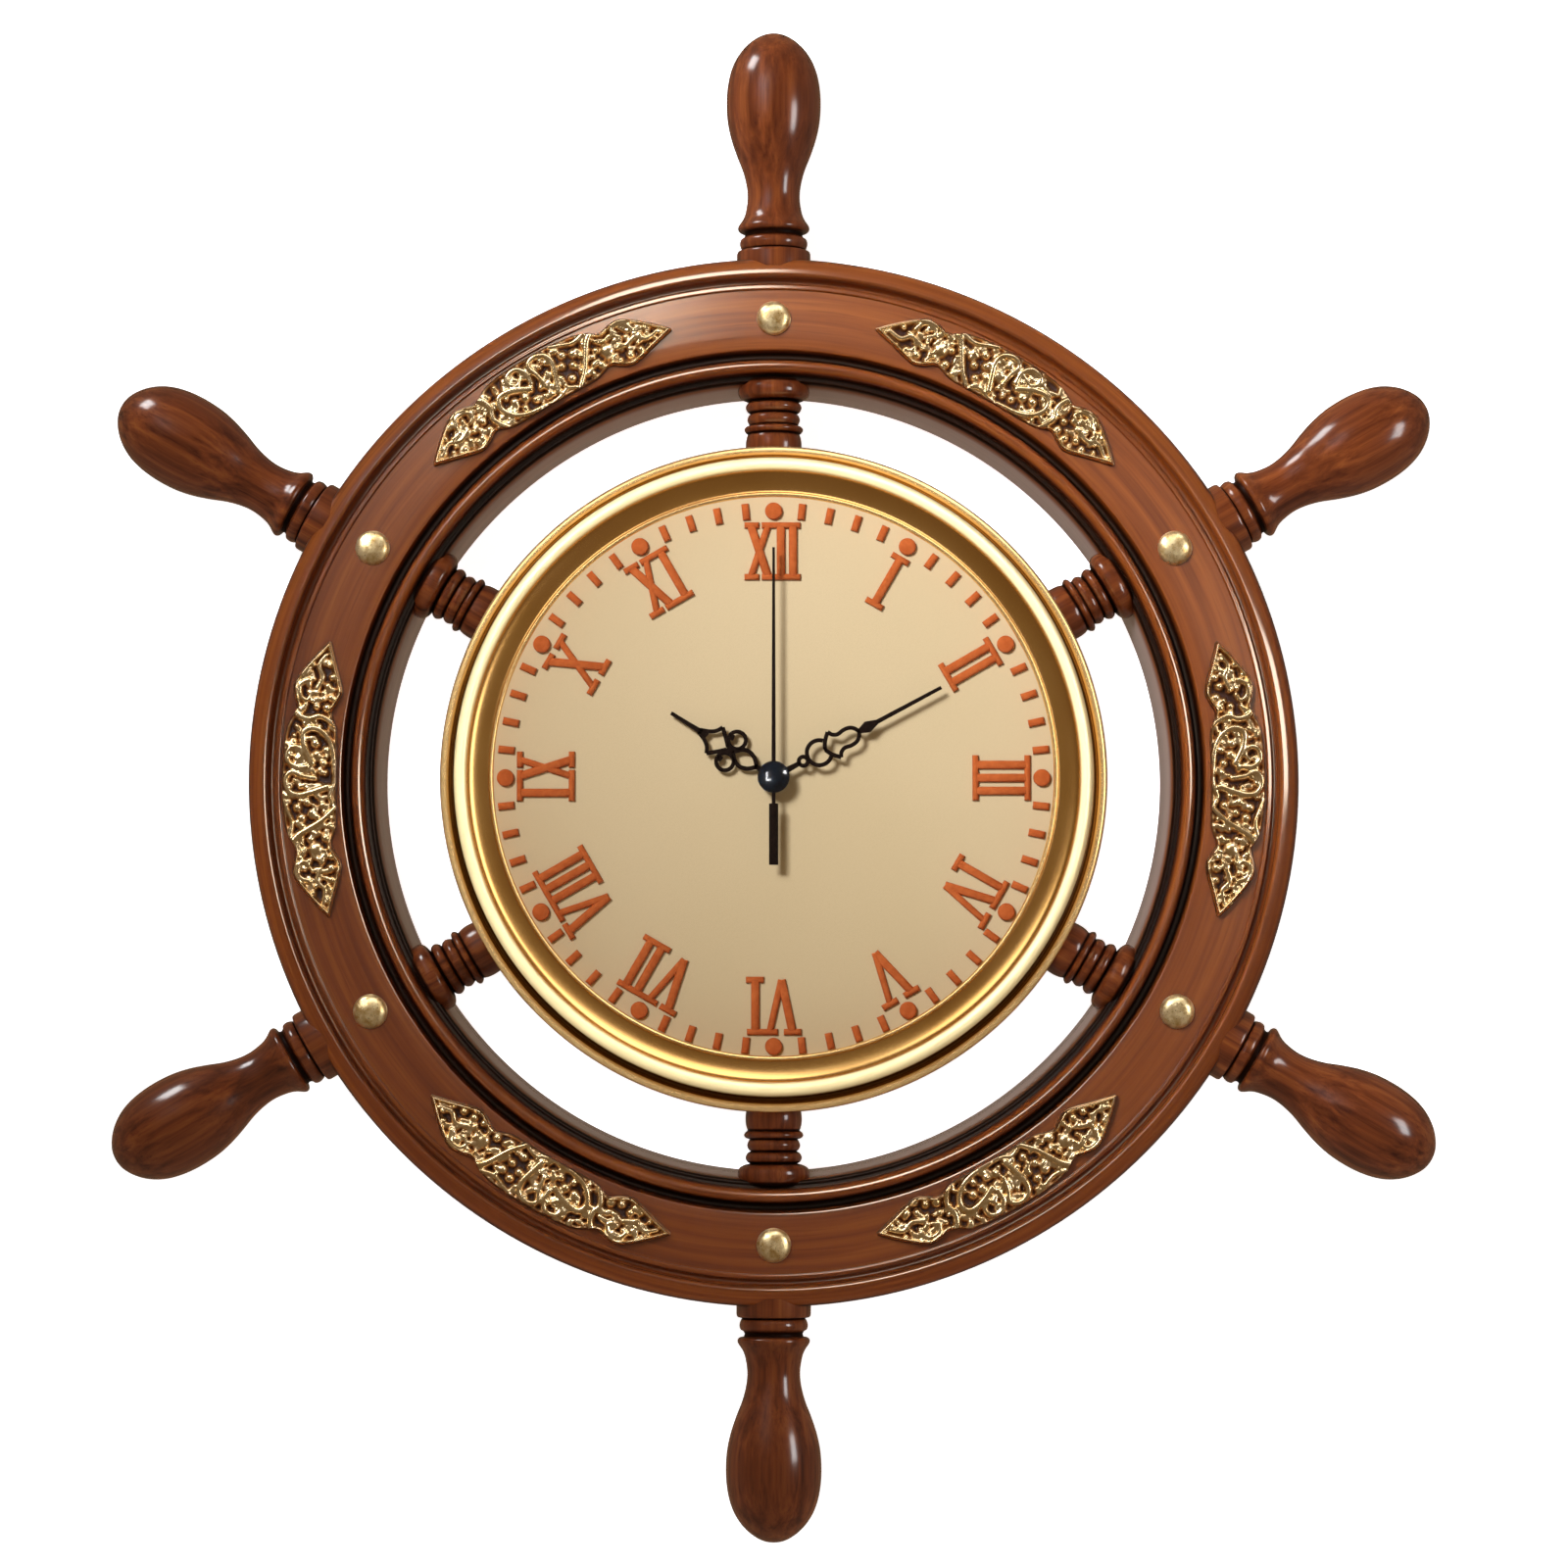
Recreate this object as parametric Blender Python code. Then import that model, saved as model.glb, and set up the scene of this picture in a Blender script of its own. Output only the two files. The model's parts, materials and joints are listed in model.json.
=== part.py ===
"""Ship wheel wall clock: a turned six-spoke wheel round a brass-rimmed quartz clock.

Metres, +Z up. The origin is the point on the wall that the keyhole hanger hangs from.
The clock faces -Y, and its axis runs along Y through the empty named clock_axis.
A depth is measured from the wall towards the viewer, so it becomes -Y.
"""

import math

import bmesh
import bpy
from mathutils import Matrix, Vector

# Construction: running clearance, overrun of cuts, and facet counts
GAP = 0.0003
OVERRUN = 0.004
ROUND_STEPS = 36
HIDDEN_EDGE_STEPS = 18
SPOKE_STEPS = 10
TUBE_STEPS = 12
ARBOR_STEPS = 8
STUD_STEPS = 8
LOOP_STEPS = 8
LEAF_STEPS = 4
ARCH_STEPS = 4
ENTRY_STEPS = 8

# Gear teeth
SMALL_PINION_TEETH = 6
CANNON_PINION_TEETH = 8
HOUR_PINION_TEETH = 7
ROTOR_WHEEL_TEETH = 36
SECOND_WHEEL_TEETH = 30
THIRD_WHEEL_TEETH = 45
CENTRE_WHEEL_TEETH = 48
MINUTE_WHEEL_TEETH = 24
HOUR_WHEEL_TEETH = 28
WHEEL_ADDENDUM_SHARE = 1.0
WHEEL_ROOT_SHARE = 1.35
PINION_BASE_SHARE = 0.25
PINION_TIP_SHARE = 0.07
PINION_ADDENDUM_SHARE = 0.85
PINION_ROOT_SHARE = 1.30

# Arbors and tubes, one inside the other, about the clock axis
ARBOR_RADIUS = 0.0005
SECOND_ARBOR_RADIUS = 0.0005
PIVOT_CLEARANCE = 0.0003
MINUTE_TUBE_BORE = SECOND_ARBOR_RADIUS + PIVOT_CLEARANCE
MINUTE_TUBE_RADIUS = 0.0016
TUBE_CLEARANCE = 0.00025
HOUR_TUBE_WALL = 0.00055
HOUR_TUBE_BORE = MINUTE_TUBE_RADIUS + TUBE_CLEARANCE
HOUR_TUBE_RADIUS = HOUR_TUBE_BORE + HOUR_TUBE_WALL
BUSH_WALL = 0.0013
BUSH_BORE = HOUR_TUBE_RADIUS + GAP
BUSH_RADIUS = BUSH_BORE + BUSH_WALL

# Gear train: the wheels' tips clear the tubes and arbors that stand beside them
MINUTE_WHEEL_CLEARANCE = 0.0002
HOUR_WHEEL_CLEARANCE = 0.00127
STEP_WHEEL_CLEARANCE = 0.00076
PARTITION_CLEARANCE = 0.00054
MINUTE_WHEEL_MODULE = (MINUTE_TUBE_RADIUS + MINUTE_WHEEL_CLEARANCE) / (
    CANNON_PINION_TEETH / 2 - WHEEL_ADDENDUM_SHARE)
MINUTE_WHEEL_DISTANCE = MINUTE_WHEEL_MODULE * (CANNON_PINION_TEETH + MINUTE_WHEEL_TEETH) / 2
HOUR_WHEEL_MODULE = 2 * MINUTE_WHEEL_DISTANCE / (HOUR_PINION_TEETH + HOUR_WHEEL_TEETH)
HOUR_WHEEL_TIP = HOUR_WHEEL_MODULE * (HOUR_WHEEL_TEETH / 2 + WHEEL_ADDENDUM_SHARE)
THIRD_DISTANCE = HOUR_WHEEL_TIP + HOUR_WHEEL_CLEARANCE + ARBOR_RADIUS
THIRD_WHEEL_MODULE = 2 * THIRD_DISTANCE / (SMALL_PINION_TEETH + THIRD_WHEEL_TEETH)
CENTRE_WHEEL_MODULE = 2 * THIRD_DISTANCE / (SMALL_PINION_TEETH + CENTRE_WHEEL_TEETH)
CENTRE_WHEEL_TIP = CENTRE_WHEEL_MODULE * (CENTRE_WHEEL_TEETH / 2 + WHEEL_ADDENDUM_SHARE)
STEP_DISTANCE = 0.0081
SECOND_WHEEL_MODULE = 2 * STEP_DISTANCE / (SMALL_PINION_TEETH + SECOND_WHEEL_TEETH)
STEP_WHEEL_TIP = STEP_DISTANCE - SECOND_ARBOR_RADIUS - STEP_WHEEL_CLEARANCE
STEP_WHEEL_MODULE = STEP_WHEEL_TIP / (ROTOR_WHEEL_TEETH / 2 + WHEEL_ADDENDUM_SHARE)
ROTOR_DISTANCE = STEP_WHEEL_MODULE * (SMALL_PINION_TEETH + ROTOR_WHEEL_TEETH) / 2
THIRD_BEARING = math.radians(270)
STEP_BEARING = math.radians(90)
ROTOR_BEARING = math.radians(45)
MINUTE_WHEEL_BEARING = math.radians(0)
KNOB_BEARING = math.radians(300)

# Battery and its contacts
BATTERY_RADIUS = 0.0071
BATTERY_LENGTH = 0.0500
BATTERY_NUB_RADIUS = 0.0026
BATTERY_NUB_LENGTH = 0.0012
BATTERY_END_ROOM = 0.0018
BAY_CLEARANCE = 0.0008
CONTACT_THICKNESS = 0.0004
CONTACT_HALF_WIDTH = 0.0045
CONTACT_CONE_RADIUS = 0.0030
CONTACT_CONE_TIP_RADIUS = 0.0015

# Movement case, in depth: cover, wheels in layers, plate, more layers, then the case's floor
CASE_WALL = 0.0012
CASE_BACK_DEPTH = 0.0037
COVER_THICKNESS = 0.0012
COVER_ROOM = 0.0011
LAYER_GAP = 0.0007
PLATE_GAP = 0.0004
PLATE_THICKNESS = 0.0010
MOTOR_WHEEL_THICKNESS = 0.0014
CENTRE_WHEEL_THICKNESS = 0.0010
HAND_WHEEL_THICKNESS = 0.0013
COVER_FRONT_DEPTH = CASE_BACK_DEPTH + COVER_THICKNESS
THIRD_WHEEL_DEPTH = COVER_FRONT_DEPTH + COVER_ROOM
SECOND_WHEEL_DEPTH = THIRD_WHEEL_DEPTH + MOTOR_WHEEL_THICKNESS + LAYER_GAP
STEP_WHEEL_DEPTH = SECOND_WHEEL_DEPTH + MOTOR_WHEEL_THICKNESS + LAYER_GAP
PLATE_DEPTH = STEP_WHEEL_DEPTH + MOTOR_WHEEL_THICKNESS + PLATE_GAP
CENTRE_WHEEL_DEPTH = PLATE_DEPTH + PLATE_THICKNESS + PLATE_GAP
MINUTE_WHEEL_DEPTH = CENTRE_WHEEL_DEPTH + CENTRE_WHEEL_THICKNESS + PLATE_GAP
HOUR_WHEEL_DEPTH = MINUTE_WHEEL_DEPTH + HAND_WHEEL_THICKNESS + PLATE_GAP
THIRD_LAYER = (THIRD_WHEEL_DEPTH, THIRD_WHEEL_DEPTH + MOTOR_WHEEL_THICKNESS)
SECOND_LAYER = (SECOND_WHEEL_DEPTH, SECOND_WHEEL_DEPTH + MOTOR_WHEEL_THICKNESS)
STEP_LAYER = (STEP_WHEEL_DEPTH, STEP_WHEEL_DEPTH + MOTOR_WHEEL_THICKNESS)
PLATE_LAYER = (PLATE_DEPTH, PLATE_DEPTH + PLATE_THICKNESS)
CENTRE_LAYER = (CENTRE_WHEEL_DEPTH, CENTRE_WHEEL_DEPTH + CENTRE_WHEEL_THICKNESS)
MINUTE_LAYER = (MINUTE_WHEEL_DEPTH, MINUTE_WHEEL_DEPTH + HAND_WHEEL_THICKNESS)
HOUR_LAYER = (HOUR_WHEEL_DEPTH, HOUR_WHEEL_DEPTH + HAND_WHEEL_THICKNESS)
CASE_FLOOR_DEPTH = max(HOUR_LAYER[1] + LAYER_GAP, CASE_BACK_DEPTH + 2 * BATTERY_RADIUS + 2 * GAP)
CASE_FRONT_DEPTH = CASE_FLOOR_DEPTH + CASE_WALL

# Movement case, as the viewer sees it
CASE_INNER = BATTERY_LENGTH / 2 + BATTERY_END_ROOM
CASE_HALF = CASE_INNER + CASE_WALL
PARTITION_DROP = max(CENTRE_WHEEL_TIP, HOUR_WHEEL_TIP) + PARTITION_CLEARANCE
BAY_TOP_DROP = PARTITION_DROP + CASE_WALL
BAY_BOTTOM_DROP = BAY_TOP_DROP + 2 * (BATTERY_RADIUS + BAY_CLEARANCE)
CASE_DROP = BAY_BOTTOM_DROP + CASE_WALL

# Motor, circuit and knob
MAGNET_RADIUS = 0.0026
MAGNET_GAP = 0.0007
STATOR_RING = 0.0016
STATOR_THICKNESS = 0.0010
STATOR_ARM = 0.0022
STATOR_MARGIN = 0.0010
COIL_RADIUS = 0.0026
COIL_FLANGE = 0.0003
COIL_FLANGE_WIDTH = 0.0007
COIL_LENGTH = 0.0200
COIL_BORE = 0.0013
COIL_TOP_ROOM = 0.0053
COIL_RISE = CASE_INNER - COIL_TOP_ROOM
COIL_CENTRE = CASE_INNER - STATOR_MARGIN - STATOR_ARM - GAP - COIL_LENGTH / 2
CORE_HALF_HEIGHT = 0.0008
BOARD_WIDTH = 0.0130
BOARD_HEIGHT = 0.0110
BOARD_THICKNESS = 0.0010
KNOB_RADIUS = 0.0045
KNOB_BACK_DEPTH = 0.0010
KNOB_STEM_RADIUS = 0.0010
KNOB_LOBES = 9
KNOB_DIP_SHARE = 0.92

# Nut and washer that hold the movement's bush
NUT_WALL = 0.0015
NUT_ACROSS_FLATS = 2 * (BUSH_RADIUS + NUT_WALL)
NUT_THICKNESS = 0.0022
WASHER_WIDTH = 0.0055
WASHER_RADIUS = BUSH_RADIUS + WASHER_WIDTH
WASHER_THICKNESS = 0.0010
NUT_RECESS_ROOM = 0.0010
NUT_RECESS_RADIUS = WASHER_RADIUS + NUT_RECESS_ROOM
NUT_RECESS_DEPTH = 0.0045

# Hub, in depth
POCKET_CLEARANCE = 0.0010
POCKET_DEPTH = CASE_FRONT_DEPTH + GAP
HUB_FLOOR = 0.0035
HUB_DEPTH = POCKET_DEPTH + HUB_FLOOR + NUT_RECESS_DEPTH
HUB_CHAMFER = 0.0010

# Dial, then the hands one above the other, then the lens
DIAL_RADIUS = 0.0903
DIAL_THICKNESS = 0.0010
DIAL_HOLE_RADIUS = BUSH_RADIUS + GAP
DIAL_BACK_DEPTH = HUB_DEPTH + GAP
DIAL_FRONT_DEPTH = DIAL_BACK_DEPTH + DIAL_THICKNESS
BUSH_RISE = 0.0005
BUSH_END_DEPTH = DIAL_FRONT_DEPTH + BUSH_RISE
HAND_THICKNESS = 0.0006
HAND_STROKE = 0.0012
HOUR_HAND_RISE = 0.0019
HAND_STEP = 0.0018
HOUR_HAND_DEPTH = DIAL_FRONT_DEPTH + HOUR_HAND_RISE
MINUTE_HAND_DEPTH = HOUR_HAND_DEPTH + HAND_STEP
SECOND_HAND_DEPTH = MINUTE_HAND_DEPTH + HAND_STEP
CAP_RADIUS = 0.0048
CAP_HEIGHT = 0.0026
CAP_TOP_DEPTH = SECOND_HAND_DEPTH + CAP_HEIGHT
LENS_CLEARANCE = 0.0011
LENS_THICKNESS = 0.0020
LENS_DEPTH = CAP_TOP_DEPTH + LENS_CLEARANCE

# Bezel, from its sight edge outwards
SIGHT_MARGIN = 0.0059
SIGHT_RADIUS = DIAL_RADIUS - SIGHT_MARGIN
BEZEL_FOOT_OVERLAP = 0.0017
BEZEL_FOOT_RADIUS = DIAL_RADIUS - BEZEL_FOOT_OVERLAP
LENS_RADIUS = BEZEL_FOOT_RADIUS - 2 * GAP
BEZEL_WIDTH = 0.0097
BEZEL_RADIUS = DIAL_RADIUS + BEZEL_WIDTH
BEZEL_LIP_WIDTH = 0.0030
BEZEL_GROOVE_WIDTH = 0.0008
BEZEL_CREST_WIDTH = 0.0019
BEZEL_COVE_WIDTH = 0.0058
BEZEL_GROOVE_RADIUS = BEZEL_RADIUS - BEZEL_LIP_WIDTH
BEZEL_SIDE_RADIUS = BEZEL_GROOVE_RADIUS - BEZEL_GROOVE_WIDTH
BEZEL_CREST_RADIUS = BEZEL_SIDE_RADIUS - BEZEL_CREST_WIDTH
BEZEL_COVE_RADIUS = BEZEL_CREST_RADIUS - BEZEL_COVE_WIDTH
BEZEL_FLANGE_HEIGHT = 0.0032
BEZEL_GROOVE_SINK = 0.0009
BEZEL_LIP_THICKNESS = 0.0008
BEZEL_LIP_SLOPE = 0.0006
BEZEL_CREST_RISE = 0.0033
REBATE_DEPTH = LENS_DEPTH + LENS_THICKNESS + GAP
BEZEL_LIP_DEPTH = REBATE_DEPTH + BEZEL_LIP_THICKNESS
BEZEL_COVE_DEPTH = BEZEL_LIP_DEPTH + BEZEL_LIP_SLOPE
BEZEL_CREST_DEPTH = BEZEL_COVE_DEPTH + BEZEL_CREST_RISE
BEZEL_SCREW_COUNT = 3
BEZEL_SCREW_CIRCLE = (DIAL_RADIUS + BEZEL_SIDE_RADIUS) / 2
BEZEL_SCREW_RADIUS = 0.0012
BEZEL_SCREW_HEAD_RADIUS = 0.0028
BEZEL_SCREW_HEAD_HEIGHT = 0.0016
BEZEL_SCREW_SINK = 0.0030
BEZEL_SCREW_REACH = 0.0050
BEZEL_SCREW_TURN = math.radians(30)

# Hub, as the viewer sees it
BEZEL_OVERHANG = 0.0025
HUB_RADIUS = BEZEL_RADIUS - BEZEL_OVERHANG

# Keyhole hanger, from the point that the hook bears on
HANGER_WIDTH = 0.0220
HANGER_TOP_RISE = 0.0145
HANGER_DROP = 0.0240
HANGER_THICKNESS = 0.0016
HANGER_INSET = 0.0003
HANGER_POCKET_ROOM = 0.0090
HANG_RISE = CASE_HALF + POCKET_CLEARANCE + HANGER_POCKET_ROOM + HANGER_DROP
SLOT_HALF_WIDTH = 0.0025
KEYHOLE_RADIUS = 0.0050
KEYHOLE_DROP = 0.0080
NAIL_POCKET_HALF_WIDTH = 0.0070
NAIL_POCKET_DEPTH = 0.0075
SCREW_PLACE_IN = 0.0045
SCREW_HEAD_RADIUS = 0.0029
SCREW_SHANK_RADIUS = 0.0013
SCREW_LENGTH = 0.0100

# Spoke radii; the fullest part of the handle just clears the wall
TENON_RADIUS = 0.0050
SHOULDER_RADIUS = 0.0084
THIN_RING_RADIUS = 0.0088
INNER_BEAD_RADIUS = 0.0078
RING_RADIUS = 0.0084
COLLAR_RADIUS = 0.0108
SHANK_RADIUS = 0.0055
FLANGE_RADIUS = 0.0112
HANDLE_RING_RADIUS = 0.0102
HANDLE_GROOVE_RADIUS = 0.0088
FLARE_RADIUS = 0.0107
WAIST_RADIUS = 0.0079
BELLY_RADIUS = 0.01435
WALL_CLEARANCE = 0.00165
SPOKE_DEPTH = BELLY_RADIUS + WALL_CLEARANCE
GROOVE_SHARE = 0.86
BEAD_SHARES = ((1.0, 0.0), (0.6, 0.8), (-0.6, 0.8), (-1.0, 0.0))

# Rim, from its inner wall outwards
SPOKE_COUNT = 6
WINDOW_WIDTH = 0.0200
LIP_FLARE = 0.0032
LIP_WIDTH = 0.0013
BEAD_RADIUS = 0.0019
INNER_BEAD_OFFSET = 0.0028
INNER_GROOVE_OFFSET = 0.0032
GROOVE_SLOPE = 0.0024
FIELD_WIDTH = 0.0184
OUTER_GROOVE_WIDTH = 0.0020
OUTER_BEAD_WIDTH = 0.0048
RIM_INNER_RADIUS = HUB_RADIUS + WINDOW_WIDTH
RIM_LIP_RADIUS = RIM_INNER_RADIUS + LIP_FLARE
COVE_RADIUS = RIM_LIP_RADIUS + LIP_WIDTH
INNER_BEAD_CENTRE = COVE_RADIUS + INNER_BEAD_OFFSET
INNER_GROOVE_RADIUS = INNER_BEAD_CENTRE + INNER_GROOVE_OFFSET
FIELD_INNER_RADIUS = INNER_GROOVE_RADIUS + GROOVE_SLOPE
FIELD_OUTER_RADIUS = FIELD_INNER_RADIUS + FIELD_WIDTH
OUTER_GROOVE_RADIUS = FIELD_OUTER_RADIUS + GROOVE_SLOPE
OUTER_BEAD_INNER_RADIUS = OUTER_GROOVE_RADIUS + OUTER_GROOVE_WIDTH
RIM_OUTER_RADIUS = OUTER_BEAD_INNER_RADIUS + OUTER_BEAD_WIDTH

# Rim, in depth from the middle of the spokes
RIM_BACK_RUN = 0.0120
RIM_SIDE_RUN = 0.0055
RIM_BACK_CHAMFER = 0.0015
FIELD_RISE = 0.0090
GROOVE_SINK = 0.0028
COVE_SINK = 0.0022
INNER_BEAD_RISE = 0.0008
OUTER_BEAD_RISE = 0.0012
RIM_BACK_DEPTH = SPOKE_DEPTH - RIM_BACK_RUN
RIM_SIDE_DEPTH = SPOKE_DEPTH + RIM_SIDE_RUN
FIELD_DEPTH = SPOKE_DEPTH + FIELD_RISE
GROOVE_DEPTH = FIELD_DEPTH - GROOVE_SINK
COVE_DEPTH = FIELD_DEPTH - COVE_SINK
INNER_BEAD_DEPTH = FIELD_DEPTH + INNER_BEAD_RISE
OUTER_BEAD_DEPTH = FIELD_DEPTH + OUTER_BEAD_RISE

# Spoke places: the tenon from the hub, the baluster from the rim's inner wall, the handle from its outside
TENON_LENGTH = 0.0198
SHOULDER_CLEARANCE = 0.0007
THIN_RING_INSET = 0.0106
INNER_BEAD_INSET = 0.0076
RING_INSET = 0.0038
BEAD_HALF_LENGTH = 0.0012
COLLAR_INSET = 0.0015
COLLAR_LENGTH = 0.0059
FLANGE_LENGTH = 0.0032
HANDLE_RING_STEP = 0.0024
HANDLE_RING_HALF_LENGTH = 0.0017
HANDLE_GROOVE_STEP = 0.0029
FLARE_STEP = 0.0022
WAIST_STEP = 0.0088
BELLY_STEP = 0.0287
TIP_STEP = 0.0223
TENON_END = HUB_RADIUS - TENON_LENGTH
SHOULDER_START = HUB_RADIUS + SHOULDER_CLEARANCE
THIN_RING_PLACE = RIM_INNER_RADIUS - THIN_RING_INSET
INNER_BEAD_PLACE = RIM_INNER_RADIUS - INNER_BEAD_INSET
RING_PLACE = RIM_INNER_RADIUS - RING_INSET
COLLAR_START = RIM_INNER_RADIUS - COLLAR_INSET
COLLAR_END = COLLAR_START + COLLAR_LENGTH
FLANGE_END = RIM_OUTER_RADIUS + FLANGE_LENGTH
HANDLE_RING_PLACE = FLANGE_END + HANDLE_RING_STEP
HANDLE_GROOVE_PLACE = HANDLE_RING_PLACE + HANDLE_GROOVE_STEP
FLARE_PLACE = HANDLE_GROOVE_PLACE + FLARE_STEP
WAIST_PLACE = FLARE_PLACE + WAIST_STEP
BELLY_PLACE = WAIST_PLACE + BELLY_STEP
HANDLE_END = BELLY_PLACE + TIP_STEP
HANDLE_SHARES = ((0.30, 0.22), (0.62, 0.74), (1.0, 1.0))
TIP_SHARES = ((0.42, 0.95), (0.76, 0.70), (0.95, 0.32), (1.0, 0.0))

# Studs and plaques, in the middle of the rim's field
FIELD_MIDDLE_RADIUS = (FIELD_INNER_RADIUS + FIELD_OUTER_RADIUS) / 2
STUD_RADIUS = 0.0052
STUD_HEIGHT = 0.0030
STUD_PIN_RADIUS = 0.0012
STUD_PIN_PAST = 0.0040
STUD_PIN_DEPTH = SPOKE_DEPTH - STUD_PIN_PAST
STUD_SHARES = ((1.0, 0.0), (0.92, 0.45), (0.62, 0.83), (0.0, 1.0))
PLAQUE_HALF_ANGLE = math.radians(17.5)
PLAQUE_MARGIN = 0.0004
PLAQUE_THICKNESS = 0.0012
PLAQUE_BORDER = 0.0010
PLAQUE_CROWN = 0.0010
PLAQUE_SHARES = ((0.0, 0.96), (0.38, 0.88), (0.50, 0.60), (0.66, 0.86), (0.84, 0.48), (1.0, 0.0))

# Hour hand: boss, leaf, two scrolls, spade, stem
HOUR_READING = math.radians(302.2)
HOUR_HAND_LENGTH = 0.0367
HOUR_BOSS_WIDTH = 0.0022
HOUR_BOSS_RADIUS = HOUR_TUBE_RADIUS + HOUR_BOSS_WIDTH
HOUR_NECK_LENGTH = 0.0012
HOUR_LEAF_LENGTH = 0.0074
HOUR_LEAF_HALF = 0.0021
HOUR_LEAF = (HOUR_BOSS_RADIUS + HOUR_NECK_LENGTH, HOUR_BOSS_RADIUS + HOUR_NECK_LENGTH + HOUR_LEAF_LENGTH)
HOUR_SCROLL_STEP = 0.0020
HOUR_SCROLL_ACROSS = 0.0036
HOUR_SCROLL_RADIUS = 0.0024
HOUR_SCROLL_PLACE = (HOUR_LEAF[1] + HOUR_SCROLL_STEP, HOUR_SCROLL_ACROSS)
HOUR_BALL_STEP = 0.0018
HOUR_BALL_ACROSS = 0.0010
HOUR_BALL_RADIUS = 0.0009
HOUR_BALL_PLACE = (HOUR_SCROLL_PLACE[0] + HOUR_BALL_STEP, HOUR_BALL_ACROSS)
HOUR_SPADE_STEP = 0.0040
HOUR_SPADE_LENGTH = 0.0082
HOUR_SPADE_HALF = 0.0040
HOUR_SPADE = (HOUR_LEAF[1] + HOUR_SPADE_STEP, HOUR_LEAF[1] + HOUR_SPADE_STEP + HOUR_SPADE_LENGTH)
HOUR_BARB_STEP = 0.0036
HOUR_BARB_ACROSS = 0.0046
HOUR_BARB_PLACE = (HOUR_SPADE[0] + HOUR_BARB_STEP, HOUR_BARB_ACROSS)
HOUR_STEM_HALF = 0.0008
SPADE_SHARE = 0.40

# Minute hand: boss, ring, loop, tulip, diamond, stem
MINUTE_READING = math.radians(61.8)
MINUTE_HAND_LENGTH = 0.0572
MINUTE_BOSS_WIDTH = 0.0024
MINUTE_BOSS_RADIUS = MINUTE_TUBE_RADIUS + MINUTE_BOSS_WIDTH
MINUTE_NECK_LENGTH = 0.0047
MINUTE_RING_RADIUS = 0.0013
MINUTE_RING_PLACE = MINUTE_BOSS_RADIUS + MINUTE_NECK_LENGTH + MINUTE_RING_RADIUS
MINUTE_LOOP_GAP = 0.0005
MINUTE_LOOP_RADIUS = 0.0036
MINUTE_LOOP_PLACE = MINUTE_RING_PLACE + MINUTE_RING_RADIUS + MINUTE_LOOP_GAP + MINUTE_LOOP_RADIUS
MINUTE_TULIP_LAP = 0.0008
MINUTE_TULIP_LENGTH = 0.0102
MINUTE_TULIP_HALF = 0.0034
MINUTE_TULIP_START = MINUTE_LOOP_PLACE + MINUTE_LOOP_RADIUS - MINUTE_TULIP_LAP
MINUTE_TULIP = (MINUTE_TULIP_START, MINUTE_TULIP_START + MINUTE_TULIP_LENGTH)
MINUTE_BARB_STEP = 0.0018
MINUTE_BARB_ACROSS = 0.0038
MINUTE_BARB_PLACE = (MINUTE_TULIP[0] + MINUTE_BARB_STEP, MINUTE_BARB_ACROSS)
MINUTE_DIAMOND_LENGTH = 0.0066
MINUTE_DIAMOND_HALF = 0.0017
MINUTE_DIAMOND = (MINUTE_TULIP[1], MINUTE_TULIP[1] + MINUTE_DIAMOND_LENGTH)
MINUTE_STEM_HALF = 0.0006
TULIP_SHARE = 0.30
DIAMOND_SHARE = 0.28

# Second hand and shares that the hands have in common
SECOND_HAND_LENGTH = 0.0690
SECOND_HAND_WIDTH = 0.0010
COUNTERWEIGHT_START = 0.0077
COUNTERWEIGHT_END = 0.0263
COUNTERWEIGHT_WIDTH = 0.0027
CAP_SHARES = ((1.0, 0.35), (0.88, 0.68), (0.55, 0.92), (0.0, 1.0))
TIP_HALF = 0.0002
LEAF_SHARE = 0.5
BARB_SHARE = 0.5


def clear_scene():
    for old in list(bpy.data.objects):
        bpy.data.objects.remove(old, do_unlink=True)


def make_material(name, colour, roughness, metallic=0.0):
    material = bpy.data.materials.new(name)
    material.use_nodes = True
    shader = material.node_tree.nodes["Principled BSDF"]
    shader.inputs["Base Color"].default_value = (*colour, 1.0)
    shader.inputs["Roughness"].default_value = roughness
    shader.inputs["Metallic"].default_value = metallic
    return material


def make_materials():
    return {
        "wood": make_material("lacquered_wood", (0.27, 0.08, 0.03), 0.28),
        "brass": make_material("polished_brass", (0.70, 0.50, 0.20), 0.25, 1.0),
        "gilt": make_material("antique_gold", (0.52, 0.38, 0.17), 0.38, 1.0),
        "dial": make_material("cream_dial", (0.72, 0.55, 0.34), 0.55),
        "hand": make_material("black_enamel", (0.01, 0.01, 0.01), 0.30),
        "glass": make_material("clear_lens", (0.90, 0.93, 0.93), 0.03),
        "case": make_material("black_plastic", (0.02, 0.02, 0.02), 0.50),
        "gear": make_material("white_plastic", (0.80, 0.80, 0.76), 0.40),
        "steel": make_material("zinc_steel", (0.60, 0.60, 0.62), 0.30, 1.0),
        "copper": make_material("enamelled_copper", (0.55, 0.20, 0.08), 0.35, 1.0),
        "board": make_material("green_board", (0.03, 0.18, 0.06), 0.50),
        "battery": make_material("grey_battery_sleeve", (0.12, 0.13, 0.15), 0.35),
        "rubber": make_material("black_rubber", (0.02, 0.02, 0.02), 0.80),
    }


# Object building
def clock_point(right, depth, rise=0.0):
    """A point about the clock axis: right and up as the viewer sees it, depth out from the wall."""
    return Vector((right, -depth, rise))


def bearing_place(radius, bearing, depth=0.0):
    """A point at this clockwise bearing from twelve o'clock."""
    return clock_point(radius * math.sin(bearing), depth, radius * math.cos(bearing))


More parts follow.
